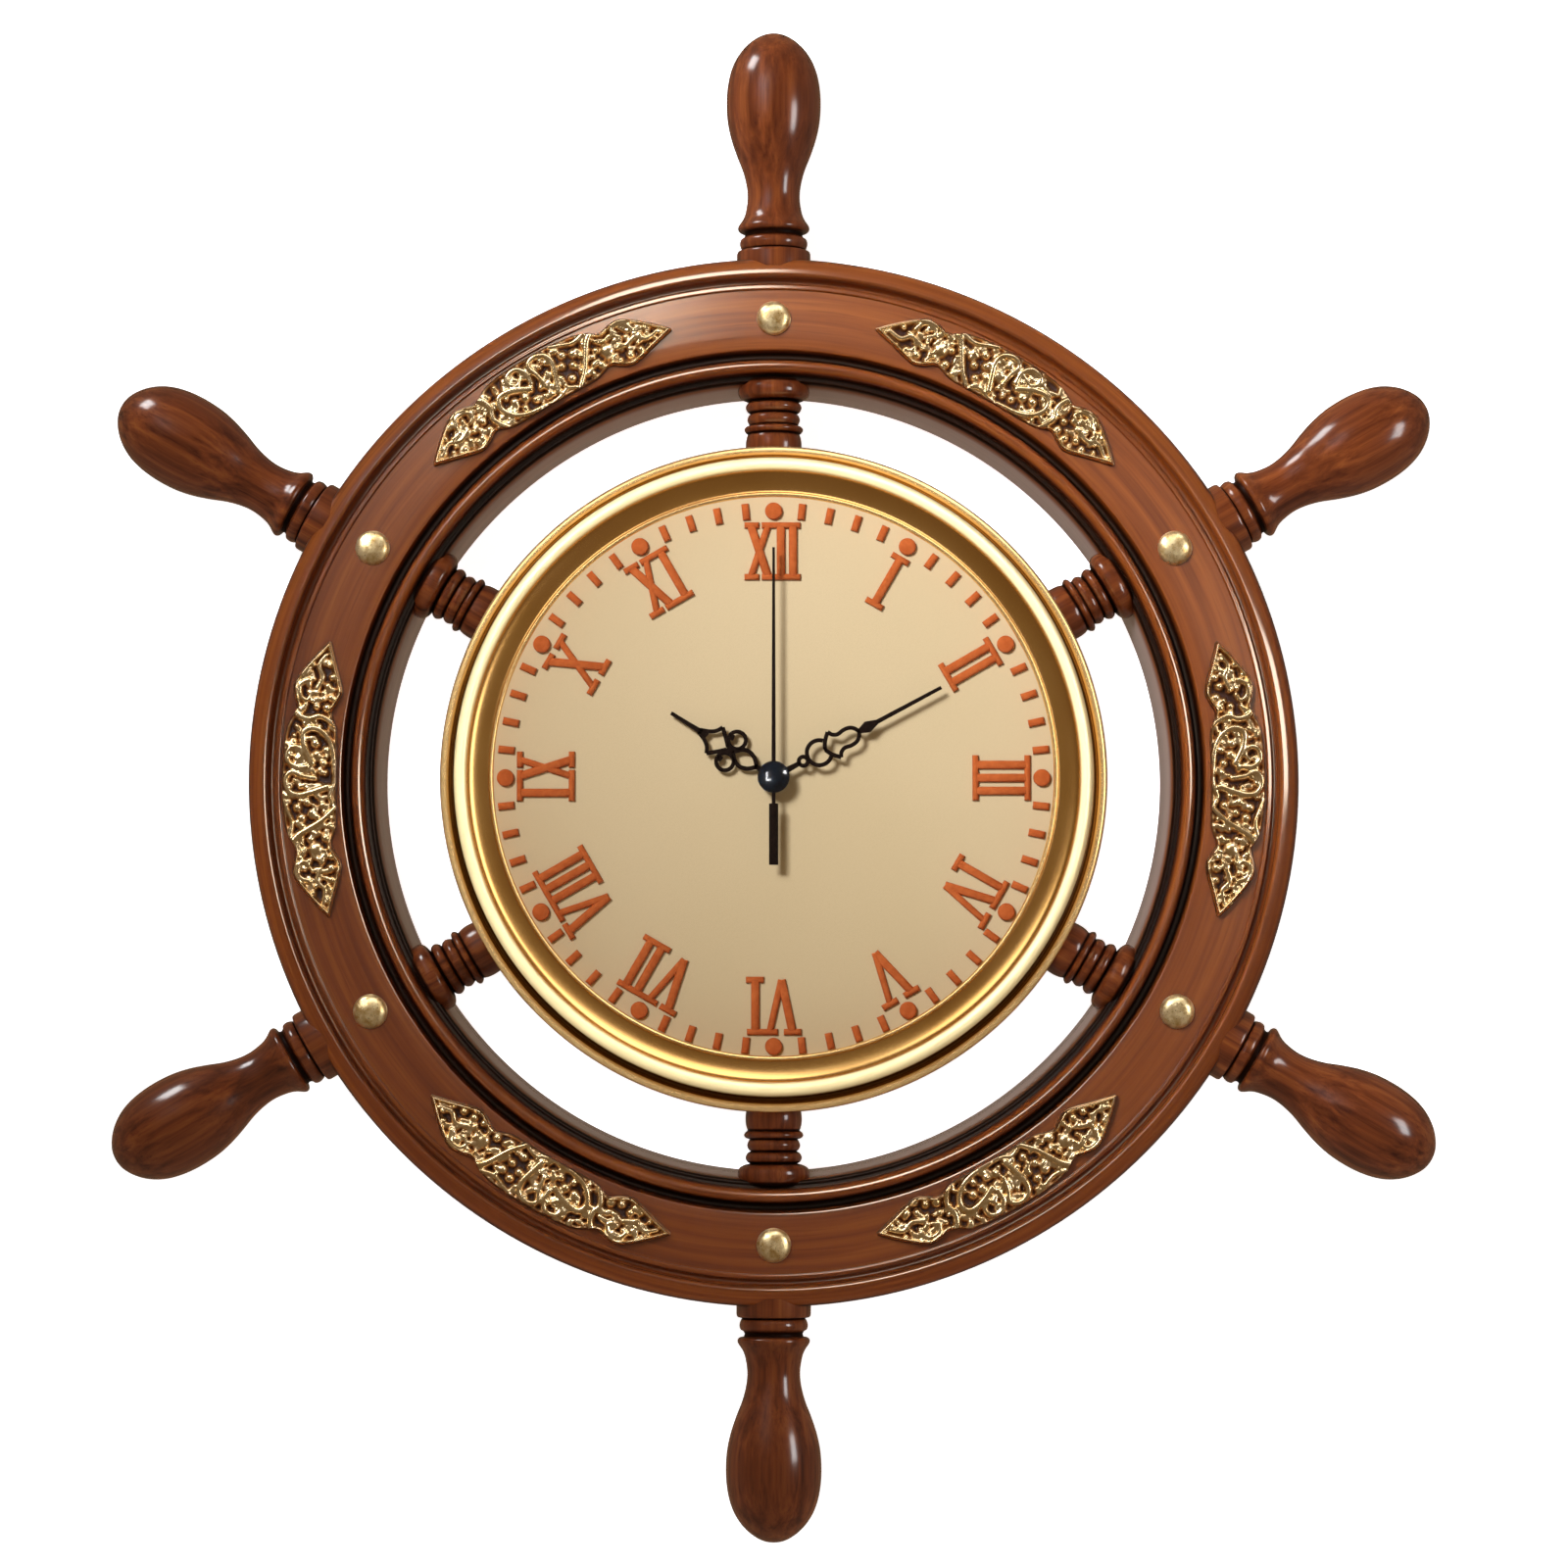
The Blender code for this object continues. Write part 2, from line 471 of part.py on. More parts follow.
def add_object(name, bm, axis, material, sharp_angle=math.radians(35)):
    """Stores a finished bmesh as an object on the clock axis."""
    bmesh.ops.remove_doubles(bm, verts=bm.verts, dist=GAP / 100)
    bmesh.ops.recalc_face_normals(bm, faces=bm.faces)
    mesh = bpy.data.meshes.new(name)
    bm.to_mesh(mesh)
    bm.free()
    mesh.materials.append(material)
    mesh.shade_smooth()
    mesh.set_sharp_from_angle(angle=sharp_angle)
    return place_mesh(name, mesh, axis)


def place_mesh(name, mesh, axis, turn=0.0, place=None):
    """An object holding this mesh, turned clockwise about the clock's direction."""
    piece = bpy.data.objects.new(name, mesh)
    bpy.context.scene.collection.objects.link(piece)
    piece.parent = axis
    piece.rotation_euler = (0.0, turn, 0.0)
    piece.location = place or Vector()
    return piece


def as_tool(piece):
    piece.hide_render = True
    piece.display_type = "WIRE"
    return piece


def combine(target, tool, operation):
    """Cuts the tool from the target, or joins it on, with a live Boolean."""
    modifier = target.modifiers.new(f"{operation.lower()}_{tool.name}", "BOOLEAN")
    modifier.operation = operation
    modifier.solver = "EXACT"
    modifier.object = as_tool(tool)


def cut(target, *tools):
    for tool in tools:
        combine(target, tool, "DIFFERENCE")


def join(target, *tools):
    for tool in tools:
        combine(target, tool, "UNION")


def turned(outline, steps, closed=False, along=False):
    """Revolves (radius, depth) points about the clock axis, or (place, radius) points about +Z."""
    bm = bmesh.new()
    if along:
        points = [Vector((radius, 0.0, place)) for place, radius in outline]
        spin_axis = Vector((0.0, 0.0, 1.0))
    else:
        points = [clock_point(radius, depth) for radius, depth in outline]
        spin_axis = Vector((0.0, 1.0, 0.0))
    verts = [bm.verts.new(point) for point in points]
    ends = verts[1:] + verts[:1] if closed else verts[1:]
    edges = [bm.edges.new(pair) for pair in zip(verts, ends)]
    bmesh.ops.spin(bm, geom=verts + edges, cent=Vector(), axis=spin_axis,
                   angle=math.tau, steps=steps, use_merge=True)
    return bm


def prism(outline, back, front):
    """Extrudes a flat outline of (right, rise) points between two depths."""
    bm = bmesh.new()
    verts = [bm.verts.new(clock_point(right, back, rise)) for right, rise in outline]
    face = bm.faces.new(verts)
    grown = bmesh.ops.extrude_face_region(bm, geom=[face])
    moved = [item for item in grown["geom"] if isinstance(item, bmesh.types.BMVert)]
    bmesh.ops.translate(bm, verts=moved, vec=clock_point(0.0, front - back))
    return bm


def box_outline(left, right, bottom, top):
    return [(left, bottom), (right, bottom), (right, top), (left, top)]


def circle_outline(radius, steps, centre=(0.0, 0.0)):
    turns = [math.tau * (step + 0.5) / steps for step in range(steps)]
    return [(centre[0] + radius * math.sin(turn), centre[1] + radius * math.cos(turn)) for turn in turns]


def disc(radius, steps, back, front, centre=(0.0, 0.0)):
    return prism(circle_outline(radius, steps, centre), back, front)


def moved_mesh(bm, matrix):
    bmesh.ops.transform(bm, matrix=matrix, verts=bm.verts)
    return bm


def together(meshes):
    """Several separate closed shapes in one mesh, for a cutter."""
    whole = bmesh.new()
    for bm in meshes:
        part = bpy.data.meshes.new("part")
        bm.to_mesh(part)
        bm.free()
        whole.from_mesh(part)
        bpy.data.meshes.remove(part)
    return whole


def spoke_bearings():
    return [math.tau * index / SPOKE_COUNT for index in range(SPOKE_COUNT)]


def turn_about_clock(angle):
    return Matrix.Rotation(angle, 4, "Y")


def half_bead(centre, half_length, base, height):
    """A rounded ring on a turned spoke, as (place, radius) points."""
    return [(centre - half_length * along, base + (height - base) * up) for along, up in BEAD_SHARES[1:-1]]


# Rim
def rim_inner_at(depth):
    """The rim's inner wall slopes outwards from the back to the lip."""
    share = (depth - RIM_BACK_DEPTH) / (COVE_DEPTH - RIM_BACK_DEPTH)
    return RIM_INNER_RADIUS + (RIM_LIP_RADIUS - RIM_INNER_RADIUS) * share


def rim_front_outline():
    split = SPOKE_DEPTH + GAP / 2
    bead = [(INNER_BEAD_CENTRE - BEAD_RADIUS * along, INNER_BEAD_DEPTH + BEAD_RADIUS * up)
            for along, up in BEAD_SHARES]
    outer_middle = (OUTER_BEAD_INNER_RADIUS + RIM_OUTER_RADIUS) / 2
    outer_half = (RIM_OUTER_RADIUS - OUTER_BEAD_INNER_RADIUS) / 2
    outer_bead = [(outer_middle - outer_half * along, OUTER_BEAD_DEPTH + BEAD_RADIUS * up)
                  for along, up in BEAD_SHARES[1:-1]]
    return [
        (rim_inner_at(split), split),
        (RIM_LIP_RADIUS, COVE_DEPTH),
        (COVE_RADIUS, COVE_DEPTH),
        *bead,
        (INNER_GROOVE_RADIUS, GROOVE_DEPTH),
        (FIELD_INNER_RADIUS, FIELD_DEPTH),
        (FIELD_OUTER_RADIUS, FIELD_DEPTH),
        (OUTER_GROOVE_RADIUS, GROOVE_DEPTH),
        *outer_bead,
        (RIM_OUTER_RADIUS, RIM_SIDE_DEPTH),
        (RIM_OUTER_RADIUS, split),
    ]


def rim_back_outline():
    split = SPOKE_DEPTH - GAP / 2
    return [
        (RIM_INNER_RADIUS, RIM_BACK_DEPTH),
        (rim_inner_at(split), split),
        (RIM_OUTER_RADIUS, split),
        (RIM_OUTER_RADIUS, RIM_BACK_DEPTH + RIM_BACK_CHAMFER),
        (RIM_OUTER_RADIUS - RIM_BACK_CHAMFER, RIM_BACK_DEPTH),
    ]


def spoke_seats():
    """Six radial seats for the shanks and collars of the spokes."""
    start = COLLAR_START - OVERRUN
    collar = COLLAR_RADIUS + GAP
    shank = SHANK_RADIUS + GAP
    outline = [
        (start, 0.0),
        (start, collar),
        (COLLAR_END + GAP, collar),
        (COLLAR_END + GAP, shank),
        (RIM_OUTER_RADIUS + OVERRUN, shank),
        (RIM_OUTER_RADIUS + OVERRUN, 0.0),
    ]
    lift = Matrix.Translation(clock_point(0.0, SPOKE_DEPTH))
    return together(moved_mesh(turned(outline, SPOKE_STEPS, along=True), turn_about_clock(bearing) @ lift)
                    for bearing in spoke_bearings())


def stud_holes(back):
    """Six holes for the stud pins, open towards the viewer."""
    places = [bearing_place(FIELD_MIDDLE_RADIUS, bearing) for bearing in spoke_bearings()]
    return together(disc(STUD_PIN_RADIUS + GAP, STUD_STEPS, back, HUB_DEPTH + OVERRUN, (place.x, place.z))
                    for place in places)


def make_rim(axis, materials):
    wood = materials["wood"]
    seats = add_object("spoke_seats", spoke_seats(), axis, wood)
    holes = add_object("stud_holes", stud_holes(SPOKE_DEPTH), axis, wood)
    front = add_object("rim_front", turned(rim_front_outline(), ROUND_STEPS, closed=True), axis, wood)
    back = add_object("rim_back", turned(rim_back_outline(), ROUND_STEPS, closed=True), axis, wood)
    cut(front, seats, holes)
    cut(back, seats)


# Spokes
def spoke_outline():
    """A baluster, a collar and shank held in the rim, and a handle, from the tenon outwards."""
    groove = THIN_RING_RADIUS * GROOVE_SHARE
    inner_ring = RING_RADIUS * GROOVE_SHARE
    points = [
        (TENON_END, 0.0),
        (TENON_END, TENON_RADIUS),
        (SHOULDER_START, TENON_RADIUS),
        (SHOULDER_START, SHOULDER_RADIUS),
        (THIN_RING_PLACE - BEAD_HALF_LENGTH, SHOULDER_RADIUS),
        (THIN_RING_PLACE, THIN_RING_RADIUS),
        (THIN_RING_PLACE + BEAD_HALF_LENGTH, groove),
        (INNER_BEAD_PLACE, INNER_BEAD_RADIUS),
        (RING_PLACE - BEAD_HALF_LENGTH, inner_ring),
        (RING_PLACE, RING_RADIUS),
        (COLLAR_START, inner_ring),
        (COLLAR_START + BEAD_HALF_LENGTH, COLLAR_RADIUS),
        (COLLAR_END, COLLAR_RADIUS),
        (COLLAR_END, SHANK_RADIUS),
        (RIM_OUTER_RADIUS + GAP, SHANK_RADIUS),
        (RIM_OUTER_RADIUS + GAP, FLANGE_RADIUS),
        (FLANGE_END, FLANGE_RADIUS),
        (FLANGE_END, HANDLE_GROOVE_RADIUS),
        *half_bead(HANDLE_RING_PLACE, HANDLE_RING_HALF_LENGTH, HANDLE_GROOVE_RADIUS, HANDLE_RING_RADIUS),
        (HANDLE_GROOVE_PLACE, HANDLE_GROOVE_RADIUS),
        (FLARE_PLACE, FLARE_RADIUS),
        (WAIST_PLACE, WAIST_RADIUS),
    ]
    belly_run = BELLY_PLACE - WAIST_PLACE
    points += [(WAIST_PLACE + belly_run * along, WAIST_RADIUS + (BELLY_RADIUS - WAIST_RADIUS) * up)
               for along, up in HANDLE_SHARES]
    tip_run = HANDLE_END - BELLY_PLACE
    points += [(BELLY_PLACE + tip_run * along, BELLY_RADIUS * up) for along, up in TIP_SHARES]
    return points


def make_spokes(axis, materials):
    pin_hole = disc(STUD_PIN_RADIUS + GAP, STUD_STEPS, STUD_PIN_DEPTH - GAP - SPOKE_DEPTH,
                    SHANK_RADIUS + OVERRUN, (0.0, FIELD_MIDDLE_RADIUS))
    cutter = add_object("spoke_pin_hole", pin_hole, axis, materials["wood"])
    first = add_object("spoke_1", turned(spoke_outline(), SPOKE_STEPS, along=True), axis, materials["wood"])
    for index, bearing in enumerate(spoke_bearings()):
        spoke = first if index == 0 else place_mesh(f"spoke_{index + 1}", first.data, axis)
        spoke.rotation_euler = (0.0, bearing, 0.0)
        spoke.location = clock_point(0.0, SPOKE_DEPTH)
        hole = place_mesh(f"spoke_{index + 1}_hole", cutter.data, axis, bearing, spoke.location)
        cut(spoke, hole)
    as_tool(cutter)


# Studs and plaques
def make_studs(axis, materials):
    seat = FIELD_DEPTH + GAP
    head = [(STUD_RADIUS * out, seat + STUD_HEIGHT * up) for out, up in STUD_SHARES]
    outline = [(0.0, STUD_PIN_DEPTH), (STUD_PIN_RADIUS, STUD_PIN_DEPTH), (STUD_PIN_RADIUS, seat), *head]
    mesh = None
    for index, bearing in enumerate(spoke_bearings()):
        name = f"stud_{index + 1}"
        if mesh is None:
            stud = add_object(name, turned(outline, STUD_STEPS), axis, materials["brass"])
            mesh = stud.data
        else:
            stud = place_mesh(name, mesh, axis)
        stud.location = bearing_place(FIELD_MIDDLE_RADIUS, bearing)


def plaque_outline():
    """Three lobes along the rim's field, pointed at both ends, as (right, rise) points."""
    middle = (FIELD_INNER_RADIUS + FIELD_OUTER_RADIUS) / 2
    half = (FIELD_OUTER_RADIUS - FIELD_INNER_RADIUS) / 2 - PLAQUE_MARGIN
    half_side = [(along, up) for along, up in PLAQUE_SHARES]
    upper = [(-along, up) for along, up in reversed(half_side)] + half_side[1:]
    lower = [(along, -up) for along, up in reversed(upper)][1:-1]
    outline = []
    for along, up in upper + lower:
        angle = along * PLAQUE_HALF_ANGLE
        radius = middle + half * up
        outline.append((radius * math.sin(angle), radius * math.cos(angle)))
    return outline


def plaque_mesh():
    """A lobed plate with a raised border round a crowned panel."""
    seat = FIELD_DEPTH + GAP
    bm = prism(plaque_outline(), seat, seat + PLAQUE_THICKNESS)
    bm.normal_update()
    front = [min(bm.faces, key=lambda face: face.calc_center_median().y)]
    bmesh.ops.inset_region(bm, faces=front, thickness=PLAQUE_BORDER, depth=0.0, use_even_offset=True)
    bmesh.ops.inset_region(bm, faces=front, thickness=PLAQUE_BORDER / 2, depth=-PLAQUE_THICKNESS / 2)
    bmesh.ops.inset_region(bm, faces=front, thickness=PLAQUE_BORDER, depth=PLAQUE_CROWN)
    return bm


def make_plaques(axis, materials):
    mesh = None
    for index, bearing in enumerate(spoke_bearings()):
        name = f"ornament_{index + 1}"
        turn = bearing + math.pi / SPOKE_COUNT
        if mesh is None:
            plaque = add_object(name, plaque_mesh(), axis, materials["gilt"])
            mesh = plaque.data
            plaque.rotation_euler = (0.0, turn, 0.0)
        else:
            place_mesh(name, mesh, axis, turn)


# Hub
def bezel_screw_places():
    turns = [BEZEL_SCREW_TURN + math.tau * index / BEZEL_SCREW_COUNT for index in range(BEZEL_SCREW_COUNT)]
    return [bearing_place(BEZEL_SCREW_CIRCLE, turn) for turn in turns]


def keyhole_outline(half_width, entry_radius, above, below):
    """A slot with a round entry under it, about the point that the hook bears on."""
    turns = [math.pi * step / ARCH_STEPS for step in range(ARCH_STEPS + 1)]
    arch = [(half_width * math.cos(turn), above + half_width * math.sin(turn)) for turn in turns]
    reach = math.asin(half_width / entry_radius)
    entry = []
    for step in range(ENTRY_STEPS + 1):
        angle = math.tau / 4 + reach + (math.tau - 2 * reach) * step / ENTRY_STEPS
        entry.append((entry_radius * math.cos(angle), below + entry_radius * math.sin(angle)))
    return arch + entry


def nail_pocket():
    """The hollow behind the hanger plate that the hook's head slides in."""
    half = NAIL_POCKET_HALF_WIDTH
    outline = box_outline(-half, half, HANG_RISE - KEYHOLE_DROP - half, HANG_RISE + half)
    return prism(outline, -OVERRUN, NAIL_POCKET_DEPTH)


def hanger_screw_places():
    return [HANG_RISE + HANGER_TOP_RISE - SCREW_PLACE_IN, HANG_RISE - HANGER_DROP + SCREW_PLACE_IN]


def hub_cutters(axis, materials):
    wood = materials["wood"]
    side, bottom = CASE_HALF + POCKET_CLEARANCE, CASE_DROP + POCKET_CLEARANCE
    plate_half = HANGER_WIDTH / 2 + GAP
    plate_top = HANG_RISE + HANGER_TOP_RISE + GAP
    plate_bottom = HANG_RISE - HANGER_DROP - GAP
    socket = [(TENON_END - GAP, 0.0), (TENON_END - GAP, TENON_RADIUS + GAP),
              (HUB_RADIUS + OVERRUN, TENON_RADIUS + GAP), (HUB_RADIUS + OVERRUN, 0.0)]
    lift = Matrix.Translation(clock_point(0.0, SPOKE_DEPTH))
    sockets = together(moved_mesh(turned(socket, SPOKE_STEPS, along=True), turn_about_clock(bearing) @ lift)
                       for bearing in spoke_bearings())
    screw = [(place.x, place.z) for place in bezel_screw_places()]
    screw_hole = BEZEL_SCREW_RADIUS + GAP
    screw_bore = together(disc(screw_hole, ARBOR_STEPS, -OVERRUN, HUB_DEPTH + OVERRUN, at) for at in screw)
    head_bore = together(disc(BEZEL_SCREW_HEAD_RADIUS + GAP, TUBE_STEPS, -OVERRUN, BEZEL_SCREW_SINK, at)
                         for at in screw)
    plate_depth = HANGER_INSET + HANGER_THICKNESS + GAP
    hanger_bore = together(disc(SCREW_SHANK_RADIUS + GAP, ARBOR_STEPS, HANGER_INSET,
                                SCREW_LENGTH + HANGER_INSET + GAP, (0.0, rise))
                           for rise in hanger_screw_places())
    shapes = {
        "hub_pocket": prism(box_outline(-side, side, -bottom, side), -OVERRUN, POCKET_DEPTH),
        "hub_bush_hole": disc(BUSH_RADIUS + GAP, TUBE_STEPS, -OVERRUN, HUB_DEPTH + OVERRUN),
        "hub_nut_recess": disc(NUT_RECESS_RADIUS, TUBE_STEPS, HUB_DEPTH - NUT_RECESS_DEPTH,
                               HUB_DEPTH + OVERRUN),
        "hub_sockets": sockets,
        "hub_screw_bores": screw_bore,
        "hub_head_bores": head_bore,
        "hub_plate_recess": prism(box_outline(-plate_half, plate_half, plate_bottom, plate_top), -OVERRUN,
                                  plate_depth),
        "hub_nail_pocket": nail_pocket(),
        "hub_hanger_bores": hanger_bore,
    }
    return [add_object(name, bm, axis, wood) for name, bm in shapes.items()]


def make_hub(axis, materials):
    outline = [
        (0.0, 0.0),
        (HUB_RADIUS - HUB_CHAMFER, 0.0),
        (HUB_RADIUS, HUB_CHAMFER),
        (HUB_RADIUS, HUB_DEPTH),
        (0.0, HUB_DEPTH),
    ]
    hub = add_object("hub_block", turned(outline, ROUND_STEPS), axis, materials["wood"])
    cut(hub, *hub_cutters(axis, materials))


def make_hanger(axis, materials):
    half = HANGER_WIDTH / 2
    back = HANGER_INSET
    front = HANGER_INSET + HANGER_THICKNESS
    bottom = HANG_RISE - HANGER_DROP
    plate_outline = box_outline(-half, half, bottom, HANG_RISE + HANGER_TOP_RISE)
    plate = add_object("keyhole_hanger", prism(plate_outline, back, front), axis, materials["steel"])
    slot = keyhole_outline(SLOT_HALF_WIDTH, KEYHOLE_RADIUS, HANG_RISE, HANG_RISE - KEYHOLE_DROP)
    cutters = [prism(slot, back - OVERRUN, front + OVERRUN)]
    for rise in hanger_screw_places():
        cone = turned([(0.0, back - GAP), (SCREW_HEAD_RADIUS + 2 * GAP, back - GAP),
                       (SCREW_SHANK_RADIUS + GAP, front), (SCREW_SHANK_RADIUS + GAP, front + OVERRUN),
                       (0.0, front + OVERRUN)], TUBE_STEPS)
        cutters.append(moved_mesh(cone, Matrix.Translation(clock_point(0.0, 0.0, rise))))
    cut(plate, add_object("hanger_holes", together(cutters), axis, materials["steel"]))
    screw_outline = [(0.0, back), (SCREW_HEAD_RADIUS, back), (SCREW_SHANK_RADIUS, front),
                     (SCREW_SHANK_RADIUS, SCREW_LENGTH), (0.0, SCREW_LENGTH + HANGER_INSET)]
    for index, rise in enumerate(hanger_screw_places()):
        screw = add_object(f"hanger_screw_{index + 1}", turned(screw_outline, ARBOR_STEPS), axis,
                           materials["steel"])
        screw.location = clock_point(0.0, 0.0, rise)


# Dial, lens and bezel
def make_face(axis, materials):
    dial_outline = [(DIAL_HOLE_RADIUS, DIAL_BACK_DEPTH), (DIAL_RADIUS, DIAL_BACK_DEPTH),
                    (DIAL_RADIUS, DIAL_FRONT_DEPTH), (DIAL_HOLE_RADIUS, DIAL_FRONT_DEPTH)]
    add_object("dial", turned(dial_outline, HIDDEN_EDGE_STEPS, closed=True), axis, materials["dial"])
    lens = disc(LENS_RADIUS, HIDDEN_EDGE_STEPS, LENS_DEPTH, LENS_DEPTH + LENS_THICKNESS)
    add_object("lens", lens, axis, materials["glass"])

    foot = DIAL_FRONT_DEPTH + GAP
    flange = HUB_DEPTH + GAP
    flange_top = flange + BEZEL_FLANGE_HEIGHT
    groove = flange_top - BEZEL_GROOVE_SINK
    crest_half = BEZEL_SIDE_RADIUS - BEZEL_CREST_RADIUS
    outline = [
        (BEZEL_FOOT_RADIUS, foot),
        (DIAL_RADIUS + GAP, foot),
        (DIAL_RADIUS + GAP, flange),
        (BEZEL_RADIUS, flange),
        (BEZEL_RADIUS, flange_top),
        (BEZEL_GROOVE_RADIUS, flange_top),
        (BEZEL_SIDE_RADIUS, groove),
        (BEZEL_SIDE_RADIUS, BEZEL_CREST_DEPTH - crest_half),
        (BEZEL_CREST_RADIUS, BEZEL_CREST_DEPTH),
        (BEZEL_CREST_RADIUS - crest_half, BEZEL_CREST_DEPTH - GAP),
        (BEZEL_COVE_RADIUS, BEZEL_COVE_DEPTH),
        (SIGHT_RADIUS, BEZEL_LIP_DEPTH),
        (SIGHT_RADIUS, REBATE_DEPTH),
        (BEZEL_FOOT_RADIUS, REBATE_DEPTH),
    ]
    bezel = add_object("bezel", turned(outline, ROUND_STEPS, closed=True), axis, materials["brass"])
    reach = HUB_DEPTH + BEZEL_SCREW_REACH
    screw = [(place.x, place.z) for place in bezel_screw_places()]
    screw_hole = BEZEL_SCREW_RADIUS + GAP
    holes = together(disc(screw_hole, ARBOR_STEPS, HUB_DEPTH - OVERRUN, reach + GAP, at) for at in screw)
    cut(bezel, add_object("bezel_holes", holes, axis, materials["brass"]))
    head_front = BEZEL_SCREW_SINK - GAP
    screw_outline = [(0.0, head_front - BEZEL_SCREW_HEAD_HEIGHT),
                     (BEZEL_SCREW_HEAD_RADIUS, head_front - BEZEL_SCREW_HEAD_HEIGHT),
                     (BEZEL_SCREW_HEAD_RADIUS, head_front), (BEZEL_SCREW_RADIUS, head_front),
                     (BEZEL_SCREW_RADIUS, reach), (0.0, reach)]
    for index, place in enumerate(bezel_screw_places()):
        name = f"bezel_screw_{index + 1}"
        screw_piece = add_object(name, turned(screw_outline, ARBOR_STEPS), axis, materials["steel"])
        screw_piece.location = place


# Hands
def hand_place(along, across):
    """A point along a hand that points at twelve, across to its right."""
    return (across, along)


def band(centre_line, width):
    """A closed strip of this width round a loop of (right, rise) points, as outer and inner outlines."""
    count = len(centre_line)
    outer, inner = [], []
    for index, (right, rise) in enumerate(centre_line):
        before, after = centre_line[index - 1], centre_line[(index + 1) % count]
        run = Vector((after[0] - before[0], after[1] - before[1])).normalized()
        outer.append((right - run.y * width / 2, rise + run.x * width / 2))
        inner.append((right + run.y * width / 2, rise - run.x * width / 2))
    return outer, inner


def loop_strip(centre_line, width, back, front):
    """The band as a closed ring of four walls."""
    outer, inner = band(centre_line, width)
    bm = bmesh.new()
    corners = ((outer, back), (outer, front), (inner, front), (inner, back))
    rings = [[bm.verts.new(clock_point(right, depth, rise)) for right, rise in outline]
             for outline, depth in corners]
    for first, second in zip(rings, rings[1:] + rings[:1]):
        for index in range(len(first)):
            bm.faces.new((first[index - 1], first[index], second[index], second[index - 1]))
    return bm


def ring_line(centre, radius, steps):
    return circle_outline(radius, steps, centre)


def leaf_line(start, end, half_width, fullest_share, steps):
    """A closed leaf between two points of a hand, fullest at this share of its length."""
    sides = []
    for step in range(1, steps):
        share = step / steps
        swell = math.sin(math.pi * share ** (math.log(0.5) / math.log(fullest_share)))
        sides.append((start + (end - start) * share, half_width * swell))
    left = [hand_place(along, -across) for along, across in sides]
    right = [hand_place(along, across) for along, across in reversed(sides)]
    return [hand_place(start, 0.0), *left, hand_place(end, 0.0), *right]


def taper(start, end, start_half, end_half):
    return [hand_place(start, -start_half), hand_place(start, start_half),
            hand_place(end, end_half), hand_place(end, -end_half)]


def boss_mesh(radius, bore, back, front):
    outline = [(bore, back), (radius, back), (radius, front), (bore, front)]
    return turned(outline, TUBE_STEPS, closed=True)


def make_hand(name, boss, parts, turn, axis, materials):
    """A flat hand: its boss with everything else joined on, turned to what it reads."""
    hand = add_object(name, boss, axis, materials["hand"])
    for index, bm in enumerate(parts):
        piece = add_object(f"{name}_{index}", bm, axis, materials["hand"])
        join(hand, piece)
        piece.rotation_euler = (0.0, turn, 0.0)
    hand.rotation_euler = (0.0, turn, 0.0)
    return hand


def barb(place, inner_along, side, stroke, back, front):
    """A short pointed spur that stands out beside a spade."""
    along, across = place
    outline = [hand_place(along, side * across), hand_place(inner_along, side * across * BARB_SHARE),
               hand_place(along + stroke, side * across * BARB_SHARE)]
    return prism(outline, back, front)


def make_hour_hand(axis, materials):
    back, front = HOUR_HAND_DEPTH, HOUR_HAND_DEPTH + HAND_THICKNESS
    side_back, side_front = back + HAND_THICKNESS / 8, front - HAND_THICKNESS / 8
    boss = boss_mesh(HOUR_BOSS_RADIUS, HOUR_TUBE_RADIUS + GAP / 2, back - GAP / 3, front + GAP / 3)
    parts = [
        prism(taper(HOUR_BOSS_RADIUS - HAND_STROKE / 2, HOUR_LEAF[0] + HAND_STROKE / 2, HOUR_STEM_HALF,
                    HOUR_STEM_HALF), back, front),
        loop_strip(leaf_line(*HOUR_LEAF, HOUR_LEAF_HALF, LEAF_SHARE, LEAF_STEPS), HAND_STROKE, side_back,
                   side_front),
        prism(taper(HOUR_LEAF[1] - HAND_STROKE / 2, HOUR_SPADE[0] + HAND_STROKE / 2, HOUR_STEM_HALF,
                    HOUR_STEM_HALF), back, front),
        loop_strip(leaf_line(*HOUR_SPADE, HOUR_SPADE_HALF, SPADE_SHARE, LEAF_STEPS), HAND_STROKE, side_back,
                   side_front),
        prism(taper(HOUR_SPADE[1] - HAND_STROKE / 2, HOUR_HAND_LENGTH, HOUR_STEM_HALF, TIP_HALF), back,
              front),
    ]
    for side in (-1, 1):
        scroll = hand_place(HOUR_SCROLL_PLACE[0], side * HOUR_SCROLL_PLACE[1])
        ball = hand_place(HOUR_BALL_PLACE[0], side * HOUR_BALL_PLACE[1])
        parts.append(loop_strip(ring_line(scroll, HOUR_SCROLL_RADIUS, LOOP_STEPS), HAND_STROKE, back, front))
        parts.append(disc(HOUR_BALL_RADIUS, ARBOR_STEPS, back + GAP / 2, front - GAP / 2, ball))
        parts.append(barb(HOUR_BARB_PLACE, HOUR_SPADE[0] + HAND_STROKE, side, HAND_STROKE, back, front))
    make_hand("hour_hand", boss, parts, HOUR_READING, axis, materials)


